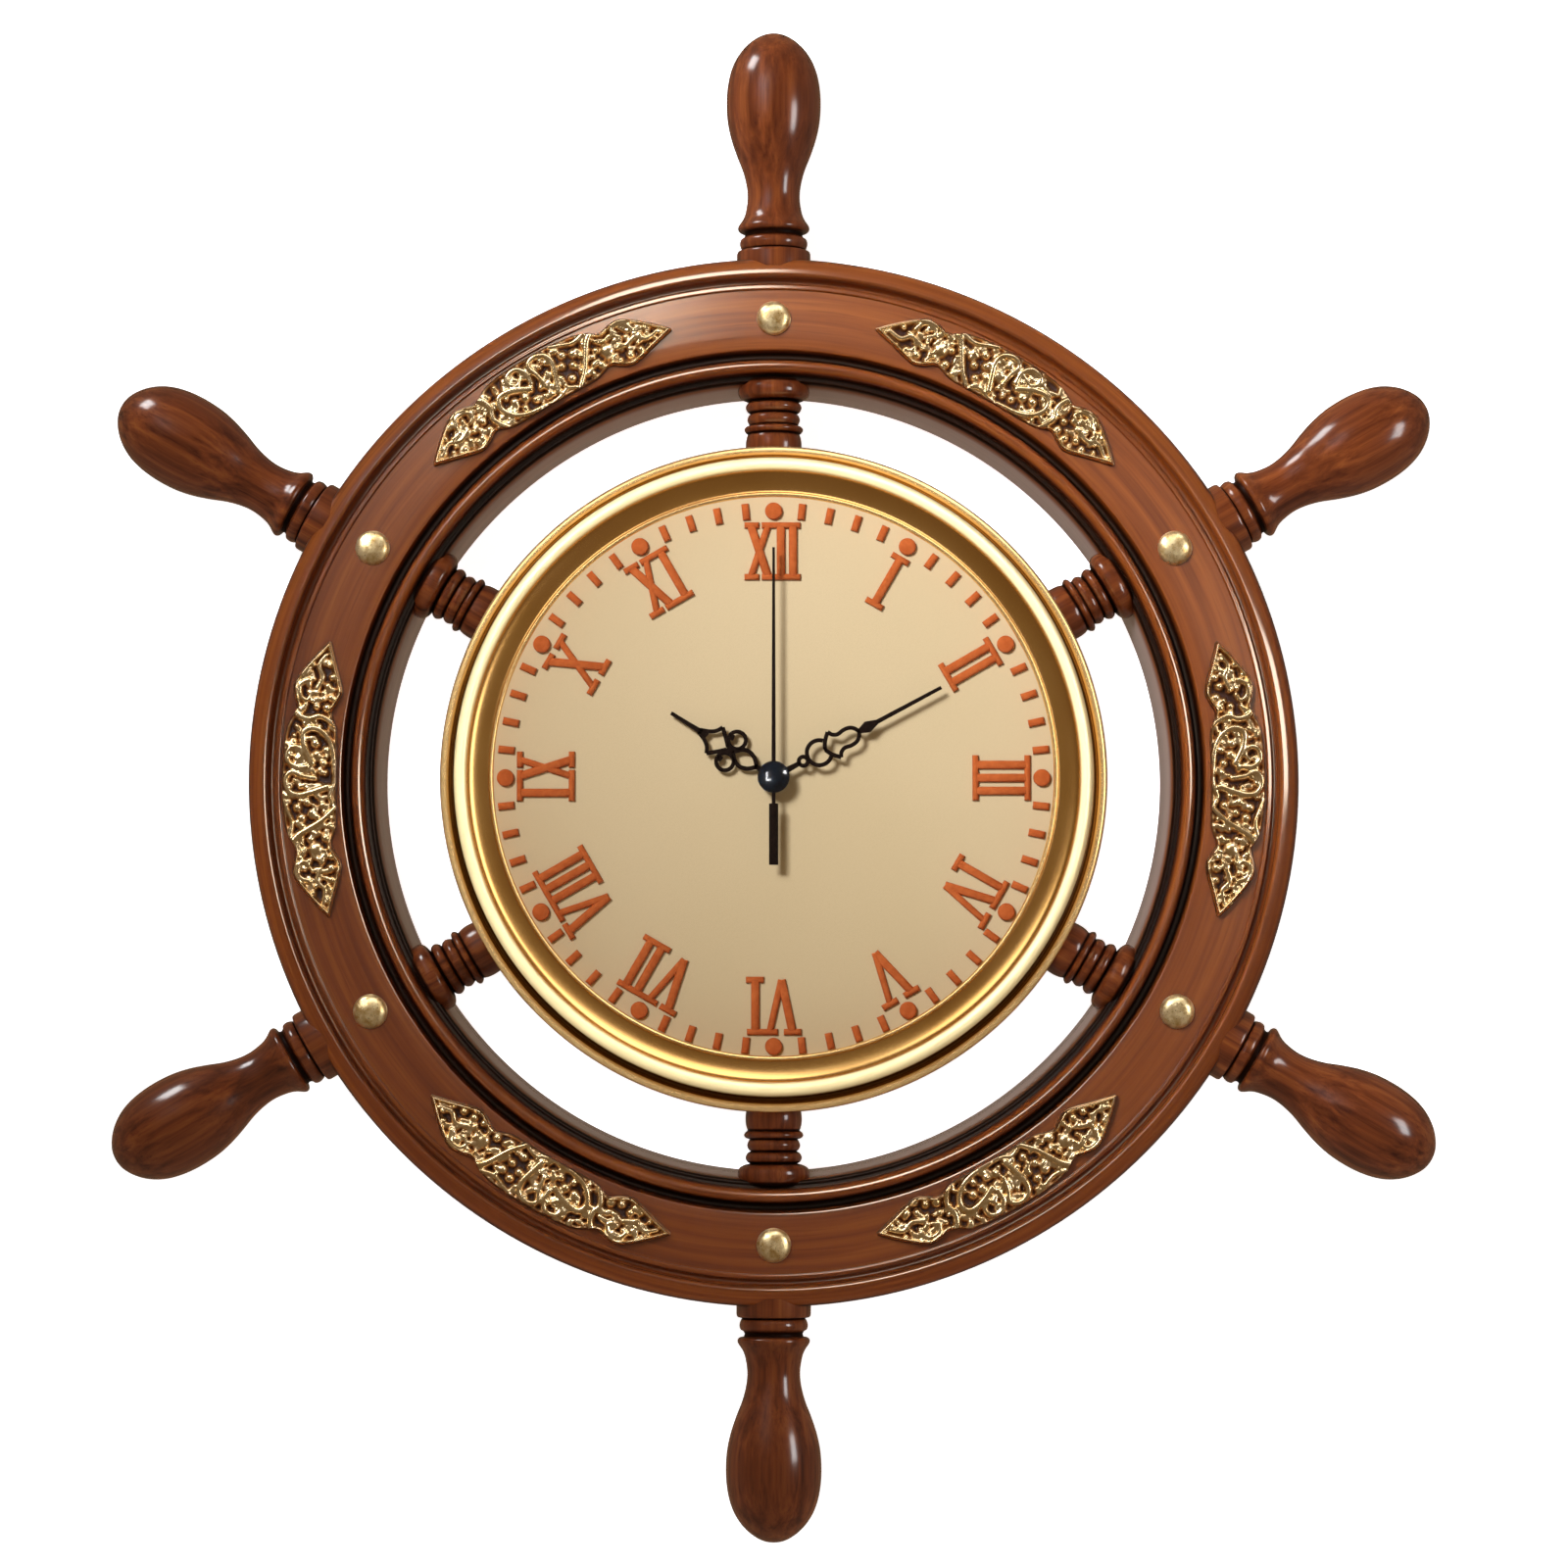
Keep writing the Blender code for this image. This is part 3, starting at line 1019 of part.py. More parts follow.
def make_minute_hand(axis, materials):
    back, front = MINUTE_HAND_DEPTH, MINUTE_HAND_DEPTH + HAND_THICKNESS
    side_back, side_front = back + HAND_THICKNESS / 8, front - HAND_THICKNESS / 8
    boss = boss_mesh(MINUTE_BOSS_RADIUS, MINUTE_TUBE_RADIUS + GAP / 2, back - GAP / 3, front + GAP / 3)
    stem = MINUTE_STEM_HALF
    parts = [
        prism(taper(MINUTE_BOSS_RADIUS - HAND_STROKE / 2, MINUTE_RING_PLACE - MINUTE_RING_RADIUS, stem, stem),
              back, front),
        loop_strip(ring_line(hand_place(MINUTE_RING_PLACE, 0.0), MINUTE_RING_RADIUS, ARBOR_STEPS),
                   HAND_STROKE, side_back, side_front),
        loop_strip(ring_line(hand_place(MINUTE_LOOP_PLACE, 0.0), MINUTE_LOOP_RADIUS, LOOP_STEPS), HAND_STROKE,
                   back, front),
        loop_strip(leaf_line(*MINUTE_TULIP, MINUTE_TULIP_HALF, TULIP_SHARE, LEAF_STEPS), HAND_STROKE,
                   side_back, side_front),
        prism(leaf_line(MINUTE_DIAMOND[0] - HAND_STROKE / 2, MINUTE_DIAMOND[1], MINUTE_DIAMOND_HALF,
                        DIAMOND_SHARE, LEAF_STEPS), back, front),
        prism(taper(MINUTE_DIAMOND[1] - HAND_STROKE, MINUTE_HAND_LENGTH, stem, TIP_HALF), side_back,
              side_front),
    ]
    for side in (-1, 1):
        parts.append(barb(MINUTE_BARB_PLACE, MINUTE_TULIP[0] + HAND_STROKE, side, HAND_STROKE, back, front))
    make_hand("minute_hand", boss, parts, MINUTE_READING, axis, materials)


def make_second_hand(axis, materials):
    back, front = SECOND_HAND_DEPTH, SECOND_HAND_DEPTH + HAND_THICKNESS
    cap_run = CAP_TOP_DEPTH - back
    cap = [(CAP_RADIUS * out, back + cap_run * up) for out, up in CAP_SHARES]
    bore = SECOND_ARBOR_RADIUS + GAP / 2
    inner = front + HAND_THICKNESS
    boss = turned([(0.0, inner), (bore, inner), (bore, back - GAP / 3), (CAP_RADIUS, back - GAP / 3), *cap],
                  TUBE_STEPS)
    half = SECOND_HAND_WIDTH / 2
    weight = COUNTERWEIGHT_WIDTH / 2
    seat = CAP_RADIUS / 2
    parts = [
        prism(taper(seat, SECOND_HAND_LENGTH, half, TIP_HALF), back, front),
        prism([(-half, -seat), (half, -seat), (half, -COUNTERWEIGHT_START),
               (-half, -COUNTERWEIGHT_START)][::-1], back, front),
        prism([(-weight, -COUNTERWEIGHT_END), (weight, -COUNTERWEIGHT_END),
               (weight, HAND_STROKE - COUNTERWEIGHT_START), (-weight, HAND_STROKE - COUNTERWEIGHT_START)],
              back - GAP / 4, front + GAP / 4),
    ]
    make_hand("second_hand", boss, parts, 0.0, axis, materials)


# Gears
def wheel_outline(teeth, module, turn=0.0):
    """A wheel's pointed teeth, with a V-shaped space between each two."""
    pitch = module * teeth / 2
    tip, root = pitch + module * WHEEL_ADDENDUM_SHARE, pitch - module * WHEEL_ROOT_SHARE
    step = math.tau / teeth
    outline = []
    for tooth in range(teeth):
        middle = turn + step * tooth
        for angle, radius in ((middle - step / 2, root), (middle, tip)):
            outline.append((radius * math.sin(angle), radius * math.cos(angle)))
    return outline


def pinion_outline(teeth, module, turn=0.0):
    """A pinion's leaves: narrow, with rounded tips and open spaces."""
    pitch = module * teeth / 2
    tip, root = pitch + module * PINION_ADDENDUM_SHARE, pitch - module * PINION_ROOT_SHARE
    step = math.tau / teeth
    corners = ((-PINION_BASE_SHARE, root), (-PINION_TIP_SHARE, tip), (PINION_TIP_SHARE, tip),
               (PINION_BASE_SHARE, root))
    outline = []
    for tooth in range(teeth):
        middle = turn + step * tooth
        for share, radius in corners:
            angle = middle + step * share
            outline.append((radius * math.sin(angle), radius * math.cos(angle)))
    return outline


def mesh_turn(bearing, driver_teeth, driven_teeth, driver_turn=0.0):
    """The turn that puts a space of the driven wheel where a tooth of the driver points at it."""
    driver_step, driven_step = math.tau / driver_teeth, math.tau / driven_teeth
    offset = ((bearing - driver_turn) / driver_step) % 1.0
    back_bearing = bearing + math.pi
    return back_bearing + (offset + 0.5) * driven_step


def gear_train():
    """Where each arbor stands, and how each wheel and pinion is turned so that they are in mesh."""
    third = bearing_place(THIRD_DISTANCE, THIRD_BEARING)
    step = bearing_place(STEP_DISTANCE, STEP_BEARING)
    rotor = step + bearing_place(ROTOR_DISTANCE, ROTOR_BEARING)
    minute = bearing_place(MINUTE_WHEEL_DISTANCE, MINUTE_WHEEL_BEARING)
    knob = minute + bearing_place(MINUTE_WHEEL_DISTANCE, KNOB_BEARING)
    small = SMALL_PINION_TEETH
    turns = {"second_pinion": 0.0, "second_wheel": 0.0, "centre_pinion": 0.0, "centre_wheel": 0.0}
    turns["third_wheel"] = mesh_turn(THIRD_BEARING, small, THIRD_WHEEL_TEETH)
    turns["third_pinion"] = mesh_turn(THIRD_BEARING, CENTRE_WHEEL_TEETH, small)
    turns["step_pinion"] = mesh_turn(STEP_BEARING, SECOND_WHEEL_TEETH, small)
    turns["step_wheel"] = 0.0
    turns["rotor_pinion"] = mesh_turn(ROTOR_BEARING, ROTOR_WHEEL_TEETH, small)
    turns["minute_wheel"] = mesh_turn(MINUTE_WHEEL_BEARING, CANNON_PINION_TEETH, MINUTE_WHEEL_TEETH)
    turns["minute_pinion"] = 0.0
    turns["hour_wheel"] = mesh_turn(MINUTE_WHEEL_BEARING + math.pi, HOUR_PINION_TEETH, HOUR_WHEEL_TEETH)
    turns["knob_pinion"] = mesh_turn(KNOB_BEARING, MINUTE_WHEEL_TEETH, CANNON_PINION_TEETH,
                                     turns["minute_wheel"])
    places = {"third": third, "step": step, "rotor": rotor, "minute": minute, "knob": knob}
    return places, turns


def add_parts(name, base, parts, place, axis, material):
    """One solid from a base and the shapes joined on to it, all standing at one place."""
    piece = add_object(name, base, axis, material)
    piece.location = place
    for index, (bm, operation) in enumerate(parts):
        tool = add_object(f"{name}_{index}", bm, axis, material)
        tool.location = place
        combine(piece, tool, operation)
    return piece


def arbor(back, front, radius=ARBOR_RADIUS):
    return disc(radius, ARBOR_STEPS, back, front)


def make_gears(axis, materials):
    places, turns = gear_train()
    gear = materials["gear"]
    small = SMALL_PINION_TEETH
    back, floor = COVER_FRONT_DEPTH + PIVOT_CLEARANCE, CASE_FLOOR_DEPTH - PIVOT_CLEARANCE
    sink = GAP

    pinion = prism(pinion_outline(small, THIRD_WHEEL_MODULE, turns["second_pinion"]), THIRD_LAYER[0],
                   SECOND_LAYER[0] + sink)
    second = [
        (pinion, "UNION"),
        (arbor(back, SECOND_HAND_DEPTH + HAND_THICKNESS, SECOND_ARBOR_RADIUS), "UNION"),
    ]
    wheel = wheel_outline(SECOND_WHEEL_TEETH, SECOND_WHEEL_MODULE, turns["second_wheel"])
    add_parts("second_wheel", prism(wheel, *SECOND_LAYER), second, Vector(), axis, gear)

    pinion = prism(pinion_outline(small, CENTRE_WHEEL_MODULE, turns["third_pinion"]),
                   CENTRE_LAYER[0] - sink / 2, CENTRE_LAYER[1] + sink / 2)
    third = [(arbor(back, floor), "UNION"), (pinion, "UNION")]
    wheel = wheel_outline(THIRD_WHEEL_TEETH, THIRD_WHEEL_MODULE, turns["third_wheel"])
    add_parts("third_wheel", prism(wheel, *THIRD_LAYER), third, places["third"], axis, gear)

    pinion = prism(pinion_outline(small, SECOND_WHEEL_MODULE, turns["step_pinion"]), SECOND_LAYER[0],
                   STEP_LAYER[0] + sink)
    step = [(arbor(back, PLATE_LAYER[1]), "UNION"), (pinion, "UNION")]
    wheel = wheel_outline(ROTOR_WHEEL_TEETH, STEP_WHEEL_MODULE, turns["step_wheel"])
    add_parts("step_wheel", prism(wheel, *STEP_LAYER), step, places["step"], axis, gear)

    magnet = disc(MAGNET_RADIUS, TUBE_STEPS, SECOND_LAYER[0] - sink, SECOND_LAYER[1] + sink)
    pinion = prism(pinion_outline(small, STEP_WHEEL_MODULE, turns["rotor_pinion"]), SECOND_LAYER[1],
                   STEP_LAYER[1])
    rotor = [(pinion, "UNION"), (arbor(back, PLATE_LAYER[1]), "UNION")]
    add_parts("rotor", magnet, rotor, places["rotor"], axis, materials["steel"])

    pinion = prism(pinion_outline(CANNON_PINION_TEETH, MINUTE_WHEEL_MODULE, turns["centre_pinion"]),
                   CENTRE_LAYER[1] - sink, MINUTE_LAYER[1])
    tube = disc(MINUTE_TUBE_RADIUS, TUBE_STEPS, CENTRE_LAYER[0] + sink, MINUTE_HAND_DEPTH + HAND_THICKNESS)
    tube_bore = disc(MINUTE_TUBE_BORE, TUBE_STEPS, PLATE_LAYER[0], CAP_TOP_DEPTH)
    centre = [(pinion, "UNION"), (tube, "UNION"), (tube_bore, "DIFFERENCE")]
    wheel = wheel_outline(CENTRE_WHEEL_TEETH, CENTRE_WHEEL_MODULE, turns["centre_wheel"])
    add_parts("centre_wheel", prism(wheel, *CENTRE_LAYER), centre, Vector(), axis, gear)

    pinion = prism(pinion_outline(HOUR_PINION_TEETH, HOUR_WHEEL_MODULE, turns["minute_pinion"]),
                   MINUTE_LAYER[1] - sink, HOUR_LAYER[1])
    post_bore = disc(ARBOR_RADIUS + 2 * GAP, TUBE_STEPS, CENTRE_LAYER[0], CASE_FRONT_DEPTH)
    minute = [(pinion, "UNION"), (post_bore, "DIFFERENCE")]
    wheel = wheel_outline(MINUTE_WHEEL_TEETH, MINUTE_WHEEL_MODULE, turns["minute_wheel"])
    add_parts("minute_wheel", prism(wheel, *MINUTE_LAYER), minute, places["minute"], axis, gear)

    tube = disc(HOUR_TUBE_RADIUS, TUBE_STEPS, HOUR_LAYER[0] + sink, HOUR_HAND_DEPTH + HAND_THICKNESS)
    tube_bore = disc(HOUR_TUBE_BORE, TUBE_STEPS, CENTRE_LAYER[0], CAP_TOP_DEPTH)
    hour = [(tube, "UNION"), (tube_bore, "DIFFERENCE")]
    wheel = wheel_outline(HOUR_WHEEL_TEETH, HOUR_WHEEL_MODULE, turns["hour_wheel"])
    add_parts("hour_wheel", prism(wheel, *HOUR_LAYER), hour, Vector(), axis, gear)

    stem = disc(KNOB_STEM_RADIUS, ARBOR_STEPS, KNOB_BACK_DEPTH + sink, MINUTE_LAYER[1] - sink)
    pinion = prism(pinion_outline(CANNON_PINION_TEETH, MINUTE_WHEEL_MODULE, turns["knob_pinion"]),
                   *MINUTE_LAYER)
    knob = [(stem, "UNION"), (pinion, "UNION")]
    add_parts("setting_knob", prism(knob_outline(), KNOB_BACK_DEPTH, CASE_BACK_DEPTH - GAP), knob,
              places["knob"], axis, gear)


def knob_outline():
    outline = []
    for point in range(2 * KNOB_LOBES):
        radius = KNOB_RADIUS * (KNOB_DIP_SHARE if point % 2 else 1.0)
        angle = math.pi * point / KNOB_LOBES
        outline.append((radius * math.sin(angle), radius * math.cos(angle)))
    return outline


# Movement
def make_case(axis, materials):
    case = materials["case"]
    front = CASE_FRONT_DEPTH
    floor = CASE_FLOOR_DEPTH
    places, _ = gear_train()
    battery_bay = box_outline(-CASE_INNER, CASE_INNER, -BAY_BOTTOM_DROP, -BAY_TOP_DROP)
    gear_bay = box_outline(-CASE_INNER, CASE_INNER, -PARTITION_DROP, CASE_INNER)
    parts = [
        (disc(BUSH_RADIUS, TUBE_STEPS, floor + GAP, BUSH_END_DEPTH), "UNION"),
        (prism(battery_bay, CASE_BACK_DEPTH - OVERRUN, floor), "DIFFERENCE"),
        (prism(gear_bay, CASE_BACK_DEPTH - OVERRUN, floor), "DIFFERENCE"),
        (disc(BUSH_BORE, TUBE_STEPS, CASE_BACK_DEPTH, BUSH_END_DEPTH + OVERRUN), "DIFFERENCE"),
        (disc(ARBOR_RADIUS + GAP / 2, ARBOR_STEPS, MINUTE_LAYER[0], floor + GAP,
              (places["minute"].x, places["minute"].z)), "UNION"),
    ]
    block = prism(box_outline(-CASE_HALF, CASE_HALF, -CASE_DROP, CASE_HALF), CASE_BACK_DEPTH, front)
    add_parts("movement_base", block, parts, Vector(), axis, case)

    fit = CASE_INNER - GAP
    cover_outline = box_outline(-fit, fit, GAP - PARTITION_DROP, fit)
    stem = disc(KNOB_STEM_RADIUS + GAP, ARBOR_STEPS, -OVERRUN, COVER_FRONT_DEPTH + OVERRUN,
                (places["knob"].x, places["knob"].z))
    add_parts("movement_cover", prism(cover_outline, CASE_BACK_DEPTH, COVER_FRONT_DEPTH),
              [(stem, "DIFFERENCE")], Vector(), axis, case)

    holes = [((0.0, 0.0), SECOND_ARBOR_RADIUS), ((places["third"].x, places["third"].z), ARBOR_RADIUS),
             ((places["step"].x, places["step"].z), ARBOR_RADIUS),
             ((places["rotor"].x, places["rotor"].z), ARBOR_RADIUS),
             ((places["knob"].x, places["knob"].z), KNOB_STEM_RADIUS)]
    pivot_holes = together(disc(radius + GAP, ARBOR_STEPS, PLATE_LAYER[0] - OVERRUN, PLATE_LAYER[1] + OVERRUN,
                                centre) for centre, radius in holes)
    add_parts("middle_plate", prism(cover_outline, *PLATE_LAYER), [(pivot_holes, "DIFFERENCE")], Vector(),
              axis, case)


def hexagon(across_flats):
    radius = across_flats / math.sqrt(3)
    turns = [math.pi * side / 3 for side in range(6)]
    return [(radius * math.sin(turn), radius * math.cos(turn)) for turn in turns]


def make_mounting(axis, materials):
    seat = HUB_DEPTH - NUT_RECESS_DEPTH + GAP
    bore = BUSH_RADIUS + GAP
    washer = [(bore, seat), (WASHER_RADIUS, seat), (WASHER_RADIUS, seat + WASHER_THICKNESS),
              (bore, seat + WASHER_THICKNESS)]
    add_object("mounting_washer", turned(washer, TUBE_STEPS, closed=True), axis, materials["rubber"])
    nut_back = seat + WASHER_THICKNESS + GAP
    nut_bore = disc(bore, TUBE_STEPS, seat, HUB_DEPTH + OVERRUN)
    add_parts("mounting_nut", prism(hexagon(NUT_ACROSS_FLATS), nut_back, nut_back + NUT_THICKNESS),
              [(nut_bore, "DIFFERENCE")], Vector(), axis, materials["brass"])


def magnet_depths():
    middle = (SECOND_LAYER[0] + SECOND_LAYER[1]) / 2
    return middle, middle - STATOR_THICKNESS / 2, middle + STATOR_THICKNESS / 2


def make_motor(axis, materials):
    places, _ = gear_train()
    rotor = places["rotor"]
    middle, back, front = magnet_depths()
    eye = MAGNET_RADIUS + MAGNET_GAP
    ring = eye + STATOR_RING
    half_coil = COIL_LENGTH / 2
    left, right = COIL_CENTRE - half_coil - GAP, COIL_CENTRE + half_coil + GAP
    core_low, core_high = COIL_RISE - CORE_HALF_HEIGHT, COIL_RISE + CORE_HALF_HEIGHT
    arm_low = COIL_RISE - COIL_RADIUS - COIL_FLANGE - GAP
    outer = [
        (rotor.x - ring, rotor.z),
        (rotor.x - ring / 2, rotor.z - ring * math.sqrt(3) / 2),
        (rotor.x + ring / 2, rotor.z - ring * math.sqrt(3) / 2),
        (rotor.x + ring, rotor.z),
        (right + STATOR_ARM, arm_low),
        (right + STATOR_ARM, core_high),
        (left - STATOR_ARM, core_high),
        (left - STATOR_ARM, arm_low),
    ]
    window = [
        (rotor.x - eye / 2, rotor.z + ring),
        (rotor.x + eye / 2, rotor.z + ring),
        (right, arm_low - GAP),
        (right, core_low),
        (left, core_low),
        (left, arm_low - GAP),
    ]
    parts = [
        (disc(eye, TUBE_STEPS, back - OVERRUN, front + OVERRUN, (rotor.x, rotor.z)), "DIFFERENCE"),
        (prism(window, back - OVERRUN, front + OVERRUN), "DIFFERENCE"),
    ]
    add_parts("stator", prism(outer, back, front), parts, Vector(), axis, materials["steel"])

    flange = COIL_RADIUS + COIL_FLANGE
    edge = half_coil - COIL_FLANGE_WIDTH
    spool = [(-half_coil, COIL_BORE), (-half_coil, flange), (-edge, flange), (-edge, COIL_RADIUS),
             (edge, COIL_RADIUS), (edge, flange), (half_coil, flange), (half_coil, COIL_BORE)]
    to_side = Matrix.Translation(clock_point(COIL_CENTRE, middle, COIL_RISE)) @ Matrix.Rotation(
        math.pi / 2, 4, "Y")
    coil = moved_mesh(turned(spool, TUBE_STEPS, closed=True, along=True), to_side)
    add_object("coil", coil, axis, materials["copper"])

    edge = CASE_INNER - GAP
    board_front = PLATE_LAYER[0] - GAP
    board = box_outline(-edge, BOARD_WIDTH - edge, edge - BOARD_HEIGHT, edge)
    add_object("circuit_board", prism(board, board_front - BOARD_THICKNESS, board_front), axis,
               materials["board"])


def make_battery(axis, materials):
    rise = -(BAY_TOP_DROP + BAY_BOTTOM_DROP) / 2
    depth = CASE_BACK_DEPTH + GAP + BATTERY_RADIUS
    edge = CASE_INNER - GAP
    face = edge - CONTACT_THICKNESS
    front_end = face - GAP
    body_end = front_end - BATTERY_NUB_LENGTH
    back_end = front_end - BATTERY_LENGTH
    outline = [(back_end, 0.0), (back_end, BATTERY_RADIUS), (body_end, BATTERY_RADIUS),
               (body_end, BATTERY_NUB_RADIUS), (front_end, BATTERY_NUB_RADIUS), (front_end, 0.0)]
    to_bay = Matrix.Translation(clock_point(0.0, depth, rise)) @ Matrix.Rotation(math.pi / 2, 4, "Y")
    add_object("battery", moved_mesh(turned(outline, TUBE_STEPS, along=True), to_bay), axis,
               materials["battery"])

    low, high = rise - CONTACT_HALF_WIDTH, rise + CONTACT_HALF_WIDTH
    back, front = depth - CONTACT_HALF_WIDTH, depth + CONTACT_HALF_WIDTH
    add_object("contact_plus", prism(box_outline(face, edge, low, high), back, front), axis,
               materials["steel"])
    cone = [(-face - GAP / 2, 0.0), (-face - GAP / 2, CONTACT_CONE_RADIUS),
            (back_end - GAP, CONTACT_CONE_TIP_RADIUS), (back_end - GAP, 0.0)]
    cone_mesh = moved_mesh(turned(cone, TUBE_STEPS, along=True), to_bay)
    add_parts("contact_minus", prism(box_outline(-edge, -face, low, high), back, front),
              [(cone_mesh, "UNION")], Vector(), axis, materials["steel"])


def main():
    clear_scene()
    materials = make_materials()
    axis = bpy.data.objects.new("clock_axis", None)
    bpy.context.scene.collection.objects.link(axis)
    axis.location = Vector((0.0, 0.0, -HANG_RISE))
    make_rim(axis, materials)
    make_spokes(axis, materials)
    make_studs(axis, materials)
    make_plaques(axis, materials)
    make_hub(axis, materials)
    make_hanger(axis, materials)
    make_face(axis, materials)
    make_hour_hand(axis, materials)
    make_minute_hand(axis, materials)
    make_second_hand(axis, materials)
    make_gears(axis, materials)
    make_case(axis, materials)
    make_mounting(axis, materials)
    make_motor(axis, materials)
    make_battery(axis, materials)


main()
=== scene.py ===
import json
import random
from math import atan2, cos, dist, hypot, pi, radians, sin, tau
import bmesh
import bpy
import numpy as np
from mathutils import Matrix, Vector, noise

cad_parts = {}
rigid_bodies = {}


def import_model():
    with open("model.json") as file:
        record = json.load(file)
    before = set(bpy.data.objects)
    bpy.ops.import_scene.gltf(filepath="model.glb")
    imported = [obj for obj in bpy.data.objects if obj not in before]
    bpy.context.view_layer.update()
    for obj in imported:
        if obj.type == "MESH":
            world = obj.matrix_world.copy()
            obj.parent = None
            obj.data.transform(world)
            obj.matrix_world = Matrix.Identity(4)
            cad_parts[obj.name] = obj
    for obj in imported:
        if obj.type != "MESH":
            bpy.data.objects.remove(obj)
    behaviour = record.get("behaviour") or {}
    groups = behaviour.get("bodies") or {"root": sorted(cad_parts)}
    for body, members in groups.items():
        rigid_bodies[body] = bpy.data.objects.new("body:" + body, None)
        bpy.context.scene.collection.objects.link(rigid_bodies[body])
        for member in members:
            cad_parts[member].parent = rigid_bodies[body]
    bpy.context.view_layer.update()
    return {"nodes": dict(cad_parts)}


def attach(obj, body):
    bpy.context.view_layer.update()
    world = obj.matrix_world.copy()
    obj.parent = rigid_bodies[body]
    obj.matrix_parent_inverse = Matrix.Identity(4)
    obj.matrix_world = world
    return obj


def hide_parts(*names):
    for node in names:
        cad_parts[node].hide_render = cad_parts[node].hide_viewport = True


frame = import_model()
scene = bpy.context.scene
mm = 0.001
axisHeight = -0.062  # the clock's axis hangs this far under the hook
grainAcross, grainAlong = 240, 6  # grain lines for each metre across and along the wood
grainCircle = 0.14  # the radius at which a ring's grain has that length
wallDepths, wallReach = (0.0045, 0.0205), 0.1203  # where the painted reflection on the wall inside the rim lies, in metres


# shapes

def smoothLine(points, steps=5):  # a smooth line through the points
    line = []
    ends = [points[0], *points, points[-1]]
    for before, here, there, after in zip(ends, ends[1:], ends[2:], ends[3:]):
        for step in range(steps):
            t = step / steps
            line.append(tuple(0.5 * (2 * b + (c - a) * t + (2 * a - 5 * b + 4 * c - d) * t ** 2
                                     + (3 * b - a - 3 * c + d) * t ** 3)
                              for a, b, c, d in zip(before, here, there, after)))
    return line + [tuple(points[-1])]


def joinRuns(runs, steps=5):  # straight to each point, and smoothly through each list of points
    line = []
    for run in runs:
        line += smoothLine([line[-1], *run], steps)[1:] if isinstance(run, list) else [run]
    return line


def spinLine(points, axis, steps, closed=False):  # turns a line in metres into a solid
    bm = bmesh.new()
    verts = [bm.verts.new(point) for point in points]
    after = verts[1:] + verts[:1] if closed else verts[1:]
    edges = [bm.edges.new(pair) for pair in zip(verts, after)]
    bmesh.ops.spin(bm, geom=verts + edges, cent=(0, 0, 0), axis=axis, angle=tau, steps=steps, use_merge=True)
    bmesh.ops.remove_doubles(bm, verts=bm.verts, dist=1e-6)
    bmesh.ops.recalc_face_normals(bm, faces=bm.faces)
    return bm


def spinRing(points, steps):  # (radius, depth) in mm; closed, unless it starts on the axis
    line = [(radius * mm, -depth * mm, 0) for radius, depth in points]
    return spinLine(line, (0, 1, 0), steps, closed=points[0][0] > 0)


def clockTurn(degrees):  # clockwise, seen from the front
    return Matrix.Rotation(radians(degrees), 4, "Y")


def toClock(bm, degrees=0):
    placed = Matrix.Translation((0, 0, axisHeight)) @ clockTurn(degrees)
    bmesh.ops.transform(bm, matrix=placed, verts=bm.verts)


def move(bm, across=0, depth=0, up=0):  # in mm, the depth toward the front
    bmesh.ops.translate(bm, vec=(across * mm, -depth * mm, up * mm), verts=bm.verts)


def toMesh(name, bm):
    mesh = bpy.data.meshes.new(name)
    bm.to_mesh(mesh)
    bm.free()
    return mesh


def toObject(name, content):
    made = bpy.data.objects.new(name, content)
    scene.collection.objects.link(made)
    return made


def shapeOf(item):  # the mesh of a piece or curve with its modifiers
    return bpy.data.meshes.new_from_object(item.evaluated_get(bpy.context.evaluated_depsgraph_get()))


def addShape(bm, part):  # puts a finished shape into a larger one
    mesh = toMesh("part", part)
    bm.from_mesh(mesh)
    bpy.data.meshes.remove(mesh)


def justVerts(made):  # the points among what an operator made
    return [item for item in made if isinstance(item, bmesh.types.BMVert)]


def roundOff(bm, edges, offset, segments=2):
    bmesh.ops.bevel(bm, geom=edges, offset=offset * mm, segments=segments, profile=0.5, affect="EDGES",
                    material=-1)


def faceRims(bm):  # the sharp edges round the faces that look to the front or the back
    return [edge for edge in bm.edges
            if edge.calc_face_angle(0) > 1 and abs(edge.verts[0].co.y - edge.verts[1].co.y) < 0.1 * mm]


def near(value, places):  # how strongly a value lies in the listed bands, each (middle, half width, strength): painted shade in recesses, and the bezel's painted highlight
    return max([strength * max(0, 1 - ((value - middle) / half) ** 2)
                for middle, half, strength in places] or [0])


def ringGrain(bm, paintedShadeRecesses, shift=0):  # grain that follows the ring, and the painted shade and painted wall reflection that it carries
    grain = bm.verts.layers.float_vector.new("grainPlace")
    glaze = bm.verts.layers.float.new("glaze")
    for vert in bm.verts:
        reach = hypot(vert.co.x, vert.co.z)
        vert[grain] = (vert.co.x / reach * grainCircle * grainAlong + shift,
                       vert.co.z / reach * grainCircle * grainAlong + vert.co.y * grainAcross,
                       reach * grainAcross)
        # painted shade in the recesses at the front; -1 marks the painted reflection on the rim's inner wall
        if -vert.co.y > wallDepths[1]:
            vert[glaze] = near(reach / mm, paintedShadeRecesses)
        elif -vert.co.y > wallDepths[0] and reach < wallReach:
            vert[glaze] = -1


def turnedGrain(bm, paintedShadeRecesses, shift):  # grain along a turned piece that stands on Z, and the painted shade in its recesses
    grain = bm.verts.layers.float_vector.new("grainPlace")
    glaze = bm.verts.layers.float.new("glaze")
    for vert in bm.verts:
        vert[grain] = (vert.co.x * grainAcross + shift, vert.co.y * grainAcross - shift,
                       vert.co.z * grainAlong)
        vert[glaze] = near(vert.co.z / mm, paintedShadeRecesses)


